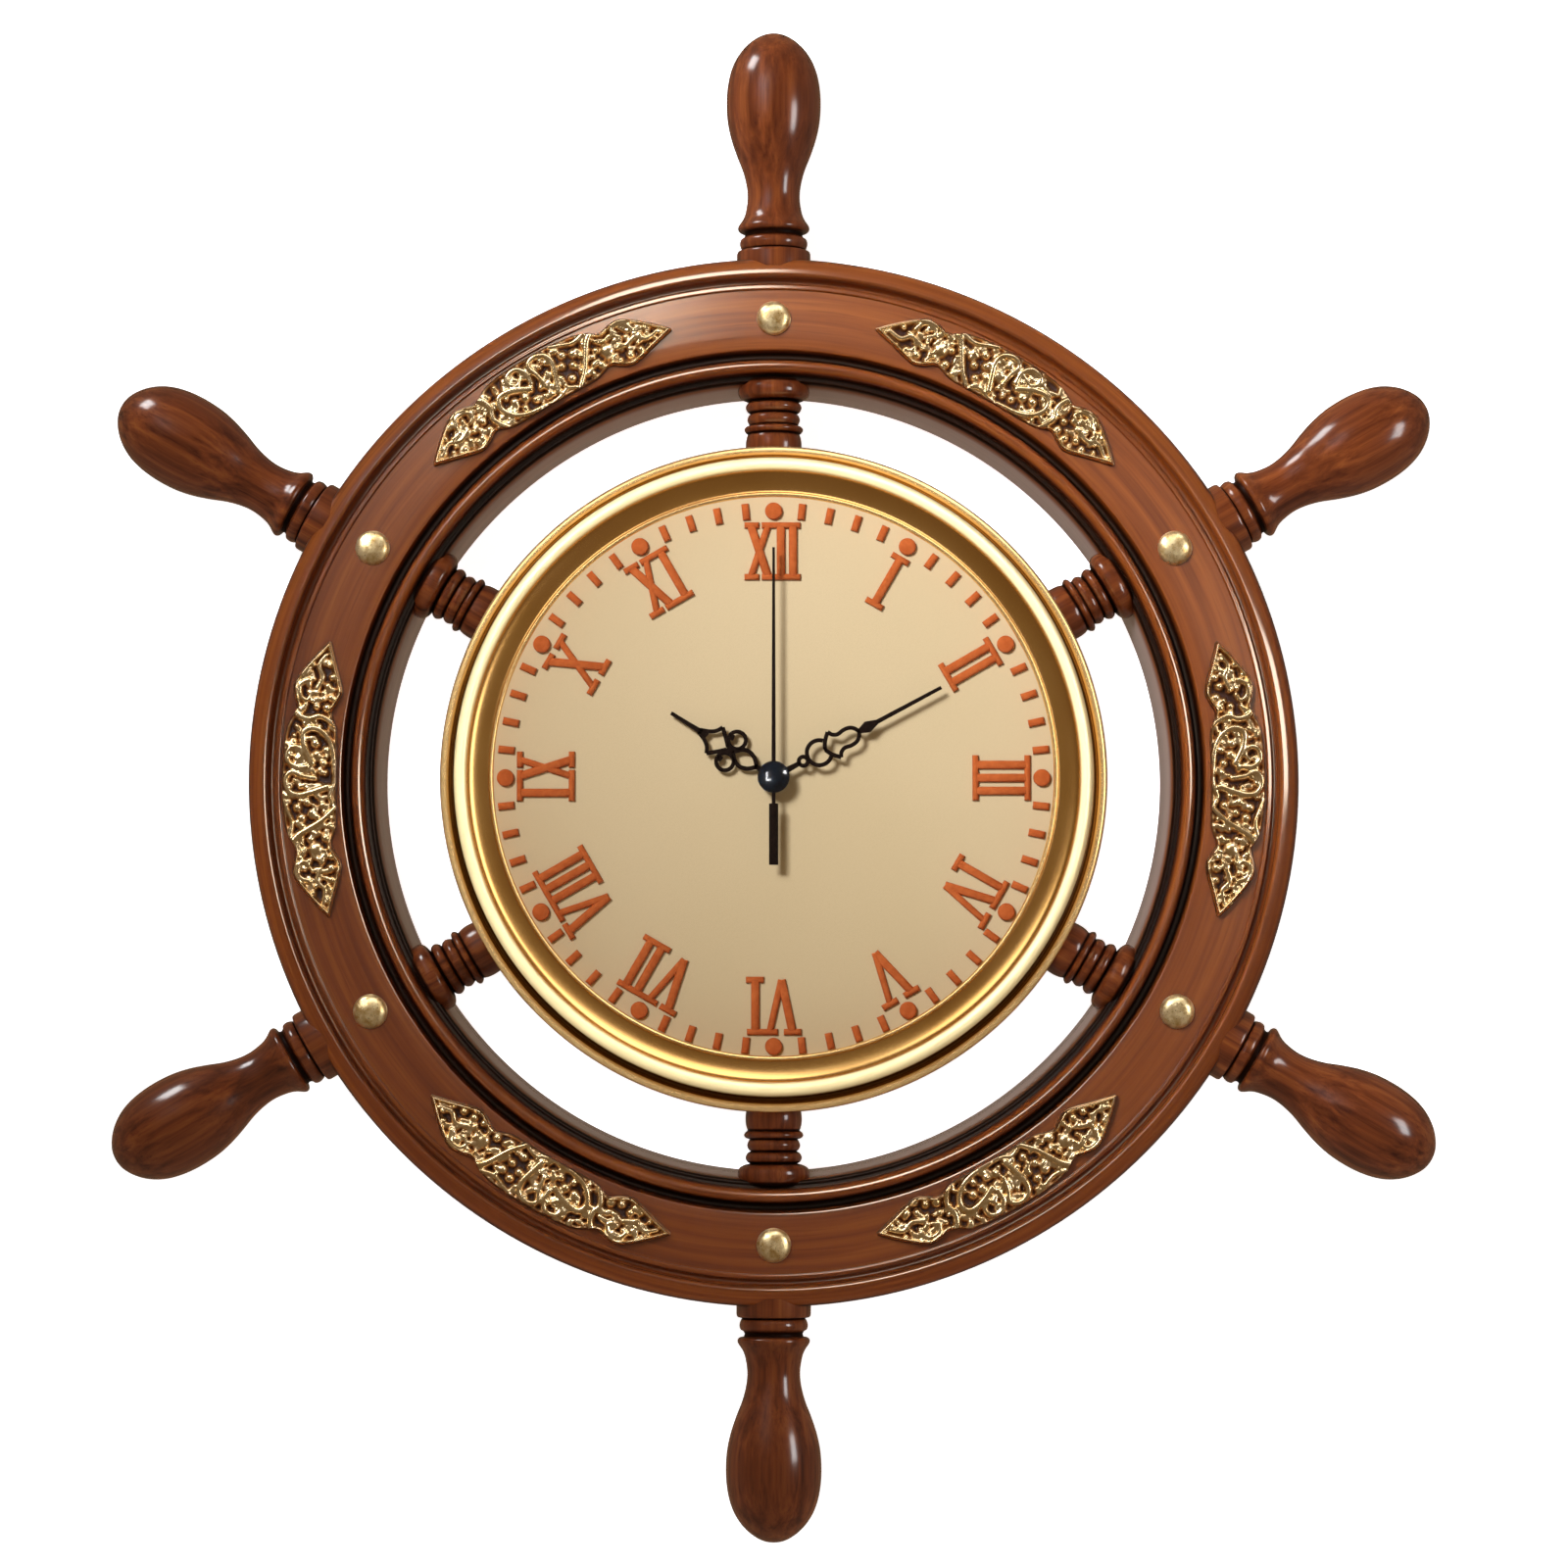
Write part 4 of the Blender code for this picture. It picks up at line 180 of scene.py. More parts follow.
def makePiece(name, bm, body, slotName, nodes, *materials, sharp=40):  # steeper edges stay crisp
    for face in bm.faces:
        face.smooth = True
    for edge in bm.edges:
        edge.smooth = edge.calc_face_angle(0) < radians(sharp)
    piece = toObject(name, toMesh(name, bm))
    for material in materials:
        piece.data.materials.append(material)
    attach(piece, body)
    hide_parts(*nodes)
    return piece


# finishes

def paint(red, green, blue):  # screen colour, 0 to 255
    return [c / 3294.6 if c <= 10 else ((c / 255 + 0.055) / 1.055) ** 2.4 for c in (red, green, blue)] + [1]


class Finish:  # a material and its nodes
    def __init__(self, name, **sockets):
        self.material = bpy.data.materials.new(name)
        self.material.use_nodes = True
        self.tree = self.material.node_tree
        self.shader = self.tree.nodes["Principled BSDF"]
        for socket, value in sockets.items():
            self.shader.inputs[socket.replace("_", " ")].default_value = value

    def add(self, kind, inputs=None, **settings):
        node = self.tree.nodes.new("ShaderNode" + kind)
        for key, value in settings.items():
            setattr(node, key, value)
        for socket, value in (inputs or {}).items():
            if isinstance(value, bpy.types.NodeSocket):
                self.tree.links.new(value, node.inputs[socket])
            else:
                node.inputs[socket].default_value = value
        return node

    def attribute(self, name, output="Fac"):
        return self.add("Attribute", attribute_name=name).outputs[output]

    def place(self):
        return self.add("TexCoord").outputs["Object"]

    def noise(self, vector, scale, detail=3, roughness=0.55, distortion=0):
        return self.add("TexNoise", {"Vector": vector, "Scale": scale, "Detail": detail,
                                     "Roughness": roughness, "Distortion": distortion}).outputs["Fac"]

    def ramp(self, factor, *stops):
        node = self.add("ValToRGB", {"Fac": factor})
        for index, (place, colour) in enumerate(stops):
            element = node.color_ramp.elements[index] if index < 2 else node.color_ramp.elements.new(place)
            element.position = place
            element.color = colour
        return node.outputs["Color"]

    def range(self, factor, low, high, toLow, toHigh):
        return self.add("MapRange", {"Value": factor, "From Min": low, "From Max": high, "To Min": toLow,
                                     "To Max": toHigh}).outputs["Result"]

    def blend(self, factor, first, second):
        return self.add("Mix", {0: factor, 6: first, 7: second}, data_type="RGBA").outputs[2]

    def fade(self, factor, low, high, first, second):  # from one colour to another as the factor rises
        return self.blend(self.range(factor, low, high, 0.0, 1.0), first, second)

    def bump(self, height, strength, distance=0.0002):
        return self.add("Bump", {"Height": height, "Strength": strength,
                                 "Distance": distance}).outputs["Normal"]

    def clearWhere(self, factor):  # lets light through unbent
        mixed = self.add("MixShader", {0: factor, 1: self.shader.outputs[0],
                                       2: self.add("BsdfTransparent").outputs[0]})
        self.tree.links.new(mixed.outputs[0], self.tree.nodes["Material Output"].inputs["Surface"])
        return self.material

    def link(self, **sockets):
        for socket, value in sockets.items():
            self.tree.links.new(value, self.shader.inputs[socket.replace("_", " ")])
        return self.material


def lacqueredWood(name, dark, middle, light, glaze, coat, coatRoughness, onObject=False):
    finish = Finish(name, Coat_Weight=coat, Coat_Roughness=coatRoughness, Coat_IOR=1.5,
                    Specular_IOR_Level=0.06)
    if onObject:
        place = finish.add("Mapping", {"Vector": finish.place(),
                                       "Scale": (grainAlong, grainAcross, grainAcross)}).outputs["Vector"]
    else:
        place = finish.attribute("grainPlace", "Vector")
    broad = finish.noise(place, 0.35, 2, 0.5, 0.4)  # slow change of tone
    streak = finish.noise(place, 1.3, 6, 0.62, 0.3)  # growth rings
    fine = finish.noise(place, 5.0, 3, 0.6)  # pores
    grain = finish.ramp(streak, (0.30, dark), (0.72, light), (0.50, middle))
    toned = finish.blend(finish.range(broad, 0.35, 0.65, 0.0, 0.55), grain, finish.blend(0.5, middle, dark))
    pored = finish.blend(finish.range(fine, 0.56, 0.72, 0.0, 0.45), toned, dark)
    if not onObject:  # painted shade in the recesses, and a painted reflection that makes the wall inside the rim pale
        depth = finish.range(finish.attribute("glaze"), 0.2, 0.75, 0.0, 0.97)
        pored = finish.blend(depth, pored, glaze)
        # painted reflection: the rim's inner wall is tinted pale
        pored = finish.blend(finish.range(finish.attribute("glaze"), -1.0, 0.0, 0.66, 0.0), pored, paintedWallReflection)
        # the coat thins out over the painted shade, so the shaded recesses show no reflection
        finish.link(Coat_Weight=finish.range(depth, 0.0, 0.9, coat, 0.0))
    rough = finish.range(fine, 0.3, 0.7, 0.36, 0.5)
    return finish.link(Base_Color=pored, Roughness=rough, Normal=finish.bump(streak, 0.12))


def metal(name, dark, light, low, high, scale, bump=0.08, metallic=1.0):
    finish = Finish(name, Metallic=metallic)
    place = finish.place()
    cloud = finish.noise(place, scale, 4, 0.6)
    fine = finish.noise(place, scale * 6, 2, 0.5)
    colour = finish.ramp(cloud, (0.32, paint(*dark)), (0.68, paint(*light)))
    return finish.link(Base_Color=colour, Roughness=finish.range(fine, 0.3, 0.7, low, high),
                       Normal=finish.bump(fine, bump, 0.0001))


def moulded(name, colour, pale, roughness, scale=900, bump=0.15, **sockets):
    finish = Finish(name, **sockets)
    speck = finish.noise(finish.place(), scale, 3, 0.6)
    return finish.link(Base_Color=finish.ramp(speck, (0.35, paint(*colour)), (0.7, paint(*pale))),
                       Roughness=finish.range(speck, 0.3, 0.7, roughness - 0.05, roughness + 0.07),
                       Normal=finish.bump(speck, bump, 0.00005))


walnut = paint(92, 38, 11), paint(130, 63, 21), paint(154, 82, 31)  # dark, middle and light grain
spokeWalnut = paint(50, 17, 6), paint(98, 45, 18), paint(132, 70, 30)
# painted shade for the recesses, and the painted reflection on the rim's inner wall
paintedRecessShade, paintedWallReflection = paint(14, 3, 1), paint(172, 160, 148)
rimWood = lacqueredWood("rimWood", *walnut, paintedRecessShade, 1.0, 0.12)
turnedWood = lacqueredWood("turnedWood", *spokeWalnut, paintedRecessShade, 1.0, 0.17)
hubWood = lacqueredWood("hubWood", *walnut, paintedRecessShade, 0.4, 0.22, onObject=True)
studBrass = metal("studBrass", (190, 152, 90), (255, 236, 184), 0.26, 0.42, 420, 0.3, 0.85)
gearBrass = metal("gearBrass", (190, 150, 80), (226, 190, 112), 0.25, 0.38, 300, metallic=0.7)
zincSteel = metal("zincSteel", (172, 173, 174), (204, 204, 202), 0.28, 0.4, 350, metallic=0.6)
rotorSteel = metal("rotorSteel", (84, 84, 88), (128, 128, 132), 0.3, 0.45, 400)
copperWire = metal("copperWire", (150, 76, 44), (206, 118, 74), 0.25, 0.4, 900, 0.2)
casePlastic = moulded("casePlastic", (20, 20, 21), (30, 30, 31), 0.45)
cellSleeve = moulded("cellSleeve", (54, 61, 70), (58, 65, 74), 0.3, 900, 0.02)
knobPlastic = moulded("knobPlastic", (28, 28, 30), (40, 40, 42), 0.38)
boardResin = moulded("boardResin", (24, 74, 44), (38, 96, 58), 0.4, 500)
washerRubber = moulded("washerRubber", (22, 22, 22), (38, 38, 38), 0.75, 700)
handLacquer = moulded("handLacquer", (22, 14, 11), (34, 23, 18), 0.42, 900, 0.05, Specular_IOR_Level=0.25)
capLacquer = moulded("capLacquer", (6, 20, 33), (7, 23, 37), 0.3, 500, 0.01,
                     Coat_Weight=1.0, Coat_Roughness=0.03, Specular_IOR_Level=0.05)


def bezelFinish():  # mirror brass in the cove, satin gilding painted paler on the crest as a painted highlight, painted shade in the groove
    finish = Finish("bezelBrass")
    satin = finish.attribute("satin")
    cloud = finish.noise(finish.place(), 30, 2, 0.5)
    brass = finish.fade(cloud, 0.3, 0.7, paint(228, 176, 102), paint(236, 188, 116))
    # the crest, flange and lip are satin, and painted paler as a painted highlight
    gildedWithPaintedHighlight = finish.fade(satin, 0.0, 1.0, brass, paint(250, 230, 172))
    # painted shade in the groove
    colour = finish.blend(finish.range(finish.attribute("glaze"), 0.2, 0.8, 0.0, 0.9), gildedWithPaintedHighlight,
                          paint(74, 40, 14))
    return finish.link(Base_Color=colour, Metallic=finish.range(satin, 0.0, 1.0, 1.0, 0.25),
                       Roughness=finish.range(cloud, 0.3, 0.7, 0.25, 0.27))


def markFinish():  # orange enamel, with painted shade where the mark meets the dial
    finish = Finish("markEnamel", Roughness=0.45, Specular_IOR_Level=0.25)
    speck = finish.noise(finish.place(), 500, 2, 0.6)
    face = finish.fade(speck, 0.35, 0.7, paint(186, 90, 41), paint(202, 104, 50))
    return finish.link(Base_Color=finish.fade(finish.attribute("glaze"), 0.15, 0.9, face, paint(84, 26, 8)))


def giltFinish():  # bright where the relief is rubbed, brown in its ground
    finish = Finish("antiqueGilt")
    relief = finish.attribute("relief")
    cloud = finish.noise(finish.place(), 420, 3, 0.55)
    worn = finish.fade(cloud, 0.3, 0.7, paint(220, 186, 130), paint(252, 232, 192))
    rubbed = finish.fade(relief, 0.3, 0.7, paint(168, 112, 56), worn)
    colour = finish.fade(relief, 0.05, 0.32, paint(50, 21, 8), rubbed)
    return finish.link(Base_Color=colour, Metallic=finish.range(relief, 0.05, 0.35, 0.1, 1.0),
                       Roughness=finish.range(relief, 0.1, 0.7, 0.6, 0.25),
                       Normal=finish.bump(cloud, 0.12, 0.0001))


def dialFinish():  # cream enamel with faint specks
    finish = Finish("dialEnamel", Coat_Weight=0.2, Coat_Roughness=0.3)
    place = finish.place()
    broad = finish.noise(place, 9, 2, 0.5)
    speck = finish.noise(place, 1600, 2, 0.6)
    colour = finish.ramp(broad, (0.3, paint(216, 191, 142)), (0.7, paint(225, 200, 152)))
    colour = finish.blend(finish.range(speck, 0.4, 0.7, 0.0, 0.06), colour, paint(170, 138, 92))
    return finish.link(Base_Color=colour, Roughness=finish.range(speck, 0.3, 0.7, 0.46, 0.56),
                       Normal=finish.bump(speck, 0.05, 0.00005))


def glassFinish():  # clear, and lets the lamps through to the dial and to the cap's lacquer
    finish = Finish("clearLens", Transmission_Weight=1.0, IOR=1.15)
    haze = finish.noise(finish.place(), 60, 2)
    finish.link(Roughness=finish.range(haze, 0.3, 0.7, 0.0, 0.015))
    path = finish.add("LightPath").outputs
    bounced = finish.add("Math", {0: path["Is Glossy Ray"], 1: path["Is Diffuse Ray"]},
                         operation="MAXIMUM").outputs[0]
    shade = finish.add("Math", {0: path["Is Shadow Ray"], 1: bounced}, operation="MAXIMUM").outputs[0]
    return finish.clearWhere(shade)


bezelBrass, markEnamel, antiqueGilt = bezelFinish(), markFinish(), giltFinish()
dialEnamel, clearLens = dialFinish(), glassFinish()
print("finishes are mixed")


# the rim: radius and depth in mm, from the joint between its halves round the front

rim = {
    "front": [
        (119.54, 16.0), (120.55, 21.8),
        [(120.8, 22.5), (121.3, 22.75), (122.0, 22.6), (122.75, 22.9)],  # dark cove
        [(122.9, 24.8), (123.3, 26.3), (124.0, 27.3), (124.9, 27.7), (125.8, 27.4), (126.5, 26.4),
         (126.85, 24.8)],
        [(127.1, 23.0), (127.8, 22.2), (128.8, 22.3), (129.5, 23.3), (129.9, 24.4)],
        [(130.15, 24.85), (130.7, 25.0)],
        (135.0, 25.0), (139.6, 25.0), (144.0, 25.0), (148.2, 25.0),
        [(148.4, 25.75), (148.7, 25.97), (149.2, 25.84), (149.7, 25.66), (149.9, 24.9)],  # fine bead
        [(150.1, 23.8), (150.6, 23.4), (151.4, 23.7), (151.9, 25.0)],
        [(152.05, 26.6), (152.3, 27.5), (152.9, 27.97), (153.6, 27.85), (154.4, 27.58), (155.3, 27.15),
         (156.2, 26.6), (157.0, 25.9), (157.6, 24.9), (158.0, 23.0)],  # outer band
        (158.0, 16.3), (157.75, 16.0),
    ],
    "back": [
        (157.75, 16.0), (158.0, 15.7), (158.0, 5.5), [(157.55, 4.4), (156.5, 4.0)],
        (138.0, 4.0), (118.3, 4.0), [(117.7, 4.2), (117.55, 4.8)], (119.54, 16.0),
    ],
    # painted shade in the coves, the grooves and at the outer edge: radius, half width and strength
    "paintedShadeRecesses": [(121.4, 2.3, 1.0), (128.2, 2.0, 1.0), (150.8, 1.2, 0.35), (158.2, 1.1, 0.8)],
    "steps": 240,
    "backShift": 31,  # the back half is cut from another board
}
for name, section, node, shift in (("rimFront", "front", "rim_front", 0),
                                   ("rimBack", "back", "rim_back", rim["backShift"])):
    bm = spinRing(joinRuns(rim[section]), rim["steps"])
    ringGrain(bm, rim["paintedShadeRecesses"], shift)
    toClock(bm)
    makePiece(name, bm, "wheel", "wood", [node], rimWood)
print("rim halves are turned")


# the six spokes: place along the spoke from the axis, and radius, in mm

spoke = {
    "line": [
        (77.7, 0), (77.7, 4.6), (78.1, 5.0), (98.2, 5.0), (98.2, 7.9),
        [(99.6, 8.3), (101.8, 8.5), (104.0, 8.3), (105.4, 7.8)],  # barrel
        [(105.9, 8.5), (106.8, 8.95), (107.6, 8.4), (108.0, 7.2)],
        [(108.6, 7.6), (109.8, 8.0), (111.0, 7.6), (111.6, 6.9)],
        [(112.2, 7.9), (113.5, 8.5), (114.7, 8.0), (115.3, 7.1)],
        [(115.7, 8.8), (116.5, 10.2), (117.7, 10.8), (119.2, 10.8), (120.6, 10.2), (121.8, 9.2)],  # collar
        (121.8, 5.5), (155.5, 5.5), (155.5, 11.2), (160.4, 11.2),  # shank inside the rim
        [(161.1, 10.95), (161.4, 10.3), (161.55, 9.4)],
        [(162.2, 9.9), (163.6, 10.3), (164.9, 10.0), (165.4, 9.2)], [(166.2, 8.75), (167.1, 9.0)],
        # handle
        [(167.3, 10.2), (167.9, 10.8), (168.7, 10.85), (169.6, 10.4), (171.2, 9.35), (173.4, 8.55),
         (177.5, 7.95), (181.5, 8.25), (186.1, 9.4), (191.0, 11.3), (196.0, 12.95), (201.0, 14.0),
         (206.2, 14.35), (211.0, 14.15), (215.6, 13.35), (219.6, 11.9), (223.0, 9.75), (225.6, 7.2),
         (227.4, 4.5), (228.25, 2.2), (228.5, 0)],
    ],
    # painted shade in the spoke's grooves: place, half width and strength
    "paintedShadeRecesses": [(97.8, 1.6, 0.9), (105.35, 0.7, 0.85), (107.95, 0.6, 0.8), (111.7, 0.7, 0.8),
                 (115.2, 0.8, 0.95), (122.0, 1.7, 1.0), (157.2, 1.3, 0.5), (161.6, 0.55, 0.85),
                 (166.3, 1.2, 1.0)],
    "depth": 16,
    "steps": 64,
    "grainShift": 17.3, "grainTurn": 2.2,  # each spoke comes from another place in the board
}
for index in range(6):
    line = [(radius * mm, 0, place * mm) for place, radius in joinRuns(spoke["line"], 4)]
    bm = spinLine(line, (0, 0, 1), spoke["steps"])
    turnedGrain(bm, spoke["paintedShadeRecesses"], index * spoke["grainShift"])
    turned = Matrix.Rotation(index * spoke["grainTurn"], 3, "Z")
    bmesh.ops.rotate(bm, cent=(0, 0, 0), matrix=turned, verts=bm.verts)
    move(bm, depth=spoke["depth"])
    toClock(bm, index * 60)
    makePiece(f"turnedSpoke{index + 1}", bm, "wheel", "wood", [f"spoke_{index + 1}"], turnedWood)
print("spokes are turned")


# the domed nails on the rim

stud = {
    "line": [(0, 12.2), (1.0, 12.6), (1.2, 13.2), (1.2, 25.0), (4.9, 25.0),
             [(5.15, 25.3), (5.15, 25.8), (4.75, 26.7), (4.0, 27.4), (2.9, 27.9), (1.5, 28.2), (0, 28.28)]],
    "circle": 139.6,
    # where the worn dome starts, and how far and how often it wavers
    "dome": 25.5, "dents": 0.3, "dentScale": 170,
}
for index in range(6):
    bm = spinRing(joinRuns(stud["line"], 4), 40)
    for vert in bm.verts:
        if vert.co.y < -stud["dome"] * mm:
            waver = noise.noise(vert.co * stud["dentScale"] + Vector((index * 7, 0, 0)))
            vert.co.y += (waver + 0.5) * stud["dents"] * mm
    move(bm, up=stud["circle"])
    toClock(bm, index * 60)
    makePiece(f"wornStud{index + 1}", bm, "wheel", "brass", [f"stud_{index + 1}"], studBrass)
print("studs are driven")


# the cast plaques: a lobed plate with a raised border and leaves, scrolls and berries on it

plaque = {
    "circle": 139.6, "reach": 42.6, "halfWidth": 8.5, "floor": 25.45, "foot": 24.9, "top": 27.95,
    # shares of the reach and half width
    "outline": [(0, 0.96), (0.2, 0.95), (0.36, 0.88), (0.48, 0.64), (0.56, 0.78),
                (0.64, 0.88), (0.72, 0.76), (0.86, 0.40), (0.985, 0.05)],
    "along": 300, "across": 56,  # faces
    # small leaves that fill the ground between the scrolls
    "tries": 900, "bud": (1.1, 1.4), "crowding": 0.72,
}


def strokeHeight(s, t, points, widths, height, vein=0):  # a rounded stroke on the plate
    risen = np.zeros_like(s)
    for (s0, t0), (s1, t1), w0, w1 in zip(points, points[1:], widths, widths[1:]):
        ds, dt = s1 - s0, t1 - t0
        share = np.clip(((s - s0) * ds + (t - t0) * dt) / max(ds * ds + dt * dt, 1e-9), 0, 1)
        width = np.maximum(w0 + (w1 - w0) * share, 0.01)
        away = np.hypot(s - s0 - share * ds, t - t0 - share * dt)
        body = np.sqrt(np.clip(1 - (away / width) ** 2, 0, 1)) * np.minimum(1, 0.45 + width * 0.6)
        risen = np.maximum(risen, height * body * (1 - vein * np.exp(-(away / 0.16) ** 2)))
    return risen


def leafAt(s, t, place, angle, length, width, height):  # a pointed leaf with a vein
    ds, dt = cos(radians(angle)), sin(radians(angle))
    bend = []
    for share in (0, 0.25, 0.5, 0.75, 1):
        bow = sin(pi * share)
        bend.append((place[0] + ds * length * share - dt * length * 0.12 * bow,
                     place[1] + dt * length * share + ds * length * 0.12 * bow))
    return strokeHeight(s, t, bend, [0.35 * width, 0.9 * width, width, 0.7 * width, 0.08], height, 0.45)


plaqueRibbons = [  # points along and across in mm, half width at the start and end, height
    ([(-20.0, 7.6), (-16.8, 4.4), (-14.8, 0.4), (-12.6, -3.8), (-9.0, -8.0)], 1.5, 1.1, 2.5),
    ([(-17.4, 7.2), (-13.0, 5.6), (-9.0, 6.6), (-6.0, 7.6)], 1.0, 0.8, 2.1),
    ([(-2.6, -5.6), (-4.0, -1.0), (-4.8, 2.8), (-3.8, 5.8), (-0.6, 7.0), (2.0, 5.4), (0.8, 1.8), (0.2, -2.0)],
     1.45, 1.0, 2.5),
    ([(3.6, 0.6), (3.4, 3.8), (5.4, 6.6), (8.6, 6.2), (9.4, 3.8), (7.4, 2.2), (5.8, 3.4)], 1.2, 0.9, 2.4),
    ([(4.8, -0.8), (9.8, 1.8), (14.0, 2.2), (15.4, -1.0), (13.2, -4.8), (8.6, -7.0), (1.6, -7.8)],
     1.5, 1.1, 2.5),
    ([(-9.4, -7.6), (-5.6, -6.2), (-2.4, -7.4), (1.6, -7.8)], 0.9, 0.9, 2.1),
    ([(21.0, 7.2), (18.6, 4.4), (18.0, 1.0), (19.2, -2.2), (17.0, -7.0)], 1.4, 1.1, 2.5),
    ([(-30.4, 3.0), (-28.6, 5.6), (-25.4, 5.4), (-24.4, 3.2), (-26.4, 2.0)], 1.1, 0.8, 2.3),
    ([(29.4, 3.2), (27.6, 5.4), (24.4, 4.8), (23.4, 2.6), (25.4, 1.6)], 1.1, 0.8, 2.3),
    ([(-37.8, 0.6), (-34.0, -1.0), (-31.0, 0.6), (-27.6, -1.0)], 0.8, 1.2, 2.1),
    ([(37.8, -0.2), (34.2, 1.2), (31.0, -0.6), (27.4, 0.2)], 0.8, 1.2, 2.1),
]
plaqueBerries = [  # place along and across and radius in mm
    (-11.6, 2.6, 1.7), (-8.4, 3.6, 1.6), (-10.2, -0.6, 1.5), (-7.0, 0.6, 1.5), (-8.2, -4.0, 1.6),
    (-5.2, -2.6, 1.3), (7.4, -2.2, 1.8), (10.8, -1.6, 1.7), (9.0, -4.8, 1.4), (4.8, -4.4, 1.5),
    (1.9, -4.8, 1.2), (-21.4, -0.6, 2.6), (-18.4, -4.0, 1.6), (-18.2, 0.6, 1.4), (22.0, -3.8, 1.7),
    (22.0, -0.6, 1.4), (-31.4, -3.6, 1.4), (31.6, -3.6, 1.4), (-27.8, -4.2, 1.6), (-24.4, -4.8, 1.3),
    (25.4, -4.4, 1.5), (28.6, -2.8, 1.5), (-34.0, 2.6, 1.1), (34.0, 3.0, 1.1), (-34.6, -3.0, 1.0),
    (35.0, -1.8, 1.0),
]


def plaqueRelief(s, t, edge, chance):  # height in mm over the plate at each place along and across
    ends = np.clip((np.abs(s) - 18) / 4, 0, 1)  # the border is higher and wider toward the tips
    rise = (1.5 + 0.95 * ends) * np.exp(-((edge - 0.6 - 0.3 * ends) / (0.4 + 0.35 * ends)) ** 2)
    for points, wide, thin, height in plaqueRibbons:
        line = smoothLine(points, 5)
        rise = np.maximum(rise, strokeHeight(s, t, line, np.linspace(wide, thin, len(line)), height, 0.2))
    taken = list(plaqueBerries)
    for attempt in range(plaque["tries"]):
        place = (chance.uniform(-plaque["reach"], plaque["reach"]), chance.uniform(-8.4, 8.4))
        size = chance.uniform(*plaque["bud"])
        row, column = np.unravel_index(np.argmin((s - place[0]) ** 2 + (t - place[1]) ** 2), s.shape)
        hasRoom = all(dist(place, other[:2]) > (other[2] + size) * plaque["crowding"] for other in taken)
        if edge[row, column] > 1.5 and rise[row, column] < 1.3 and hasRoom:
            leaf = leafAt(s, t, place, chance.uniform(0, 360), size * 2.6, size, chance.uniform(1.5, 2.2))
            rise = np.maximum(rise, leaf)
            if chance.random() < 0.5:  # half of them carry a berry
                taken.append((*place, size * 0.8))
    for along, across, size in taken:
        berry = [(along, across), (along + 0.01, across)]
        rise = np.maximum(rise, strokeHeight(s, t, berry, [size, size], 2.1))
    soft = np.pad(rise, 1, mode="edge")  # one pass of smoothing
    return (soft[:-2, 1:-1] + soft[2:, 1:-1] + soft[1:-1, :-2] + soft[1:-1, 2:] + 2 * rise) / 6


def makePlaque(index):
    chance = random.Random(index + 5)
    across = np.linspace(-1, 1, plaque["across"] + 1)[None, :]
    shares, widths = zip(*smoothLine(plaque["outline"], 4))
    along = np.linspace(-shares[-1], shares[-1], plaque["along"] + 1)[:, None]
    half = np.interp(np.abs(along), shares, widths) * plaque["halfWidth"]
    s, t = np.broadcast_arrays(along * plaque["reach"], across * half)
    slope = np.abs(np.gradient(half[:, 0], along[:, 0] * plaque["reach"]))[:, None]
    edge = (1 - np.abs(across)) * half / np.sqrt(1 + slope ** 2)
    mirror = -1 if index % 2 else 1
    rise = plaqueRelief(s * mirror, t, edge, chance) * np.clip(edge / 0.25, 0, 1) ** 0.5
    bm = bmesh.new()
    bmesh.ops.create_grid(bm, x_segments=plaque["along"], y_segments=plaque["across"], size=1)
    relief = bm.verts.layers.float.new("relief")
    deepest = plaque["top"] - plaque["floor"]
    for vert in bm.verts:
        row = round((vert.co.x + 1) / 2 * plaque["along"])
        column = round((vert.co.y + 1) / 2 * plaque["across"])
        height = min(rise[row, column], deepest)
        turn = s[row, column] / plaque["circle"]
        radius = (plaque["circle"] + t[row, column]) * mm
        vert[relief] = height / deepest
        vert.co = (radius * sin(turn), -(plaque["floor"] + height) * mm, radius * cos(turn))
    walls = bmesh.ops.extrude_edge_only(bm, edges=[line for line in bm.edges if line.is_boundary])["geom"]
    for vert in justVerts(walls):
        vert.co.y = -plaque["foot"] * mm
    bmesh.ops.holes_fill(bm, edges=[line for line in bm.edges if line.is_boundary], sides=0)
    bmesh.ops.recalc_face_normals(bm, faces=bm.faces)
    toClock(bm, 30 + index * 60)
    makePiece(f"castPlaque{index + 1}", bm, "wheel", "gilt", [f"ornament_{index + 1}"], antiqueGilt, sharp=70)


for index in range(6):
    makePlaque(index)
print("plaques are cast")


# the hub: radius and depth in mm; the pocket and recesses at its back are cut out

hub = {
    "radius": 97.5, "depth": 28.0, "round": 1.2,
    "pocket": (58, 58, -1, 20.0, 2.0),  # for the movement: width, height, depths and corner
    # the hanger's rebate: width, height, depths, corner and its middle from the hook; then the same for the
    # wall screw's head behind it
    "plate": (22.4, 38.9, -1, 2.0, 1.5, -4.75), "slot": (14, 26, -1, 7.5, 6.9, -5),
    "screwCircle": 93.25, "screwRecess": (3.1, 6.0), "screwTurns": (30, 150, 270),
}


def blockTool(width, height, low, high, corner, middle):  # a rounded block to cut with, its depths in mm
    bm = bmesh.new()
    place = Vector((0, -(low + high) / 2, middle)) * mm
    size = Vector((width, high - low, height)) * mm
    bmesh.ops.create_cube(bm, size=1, matrix=Matrix.LocRotScale(place, None, size))
    half = (high - low) * mm / 2
    deep = [edge for edge in bm.edges if abs(edge.verts[0].co.y - edge.verts[1].co.y) > half]
    roundOff(bm, deep, corner, 4)
    return bm


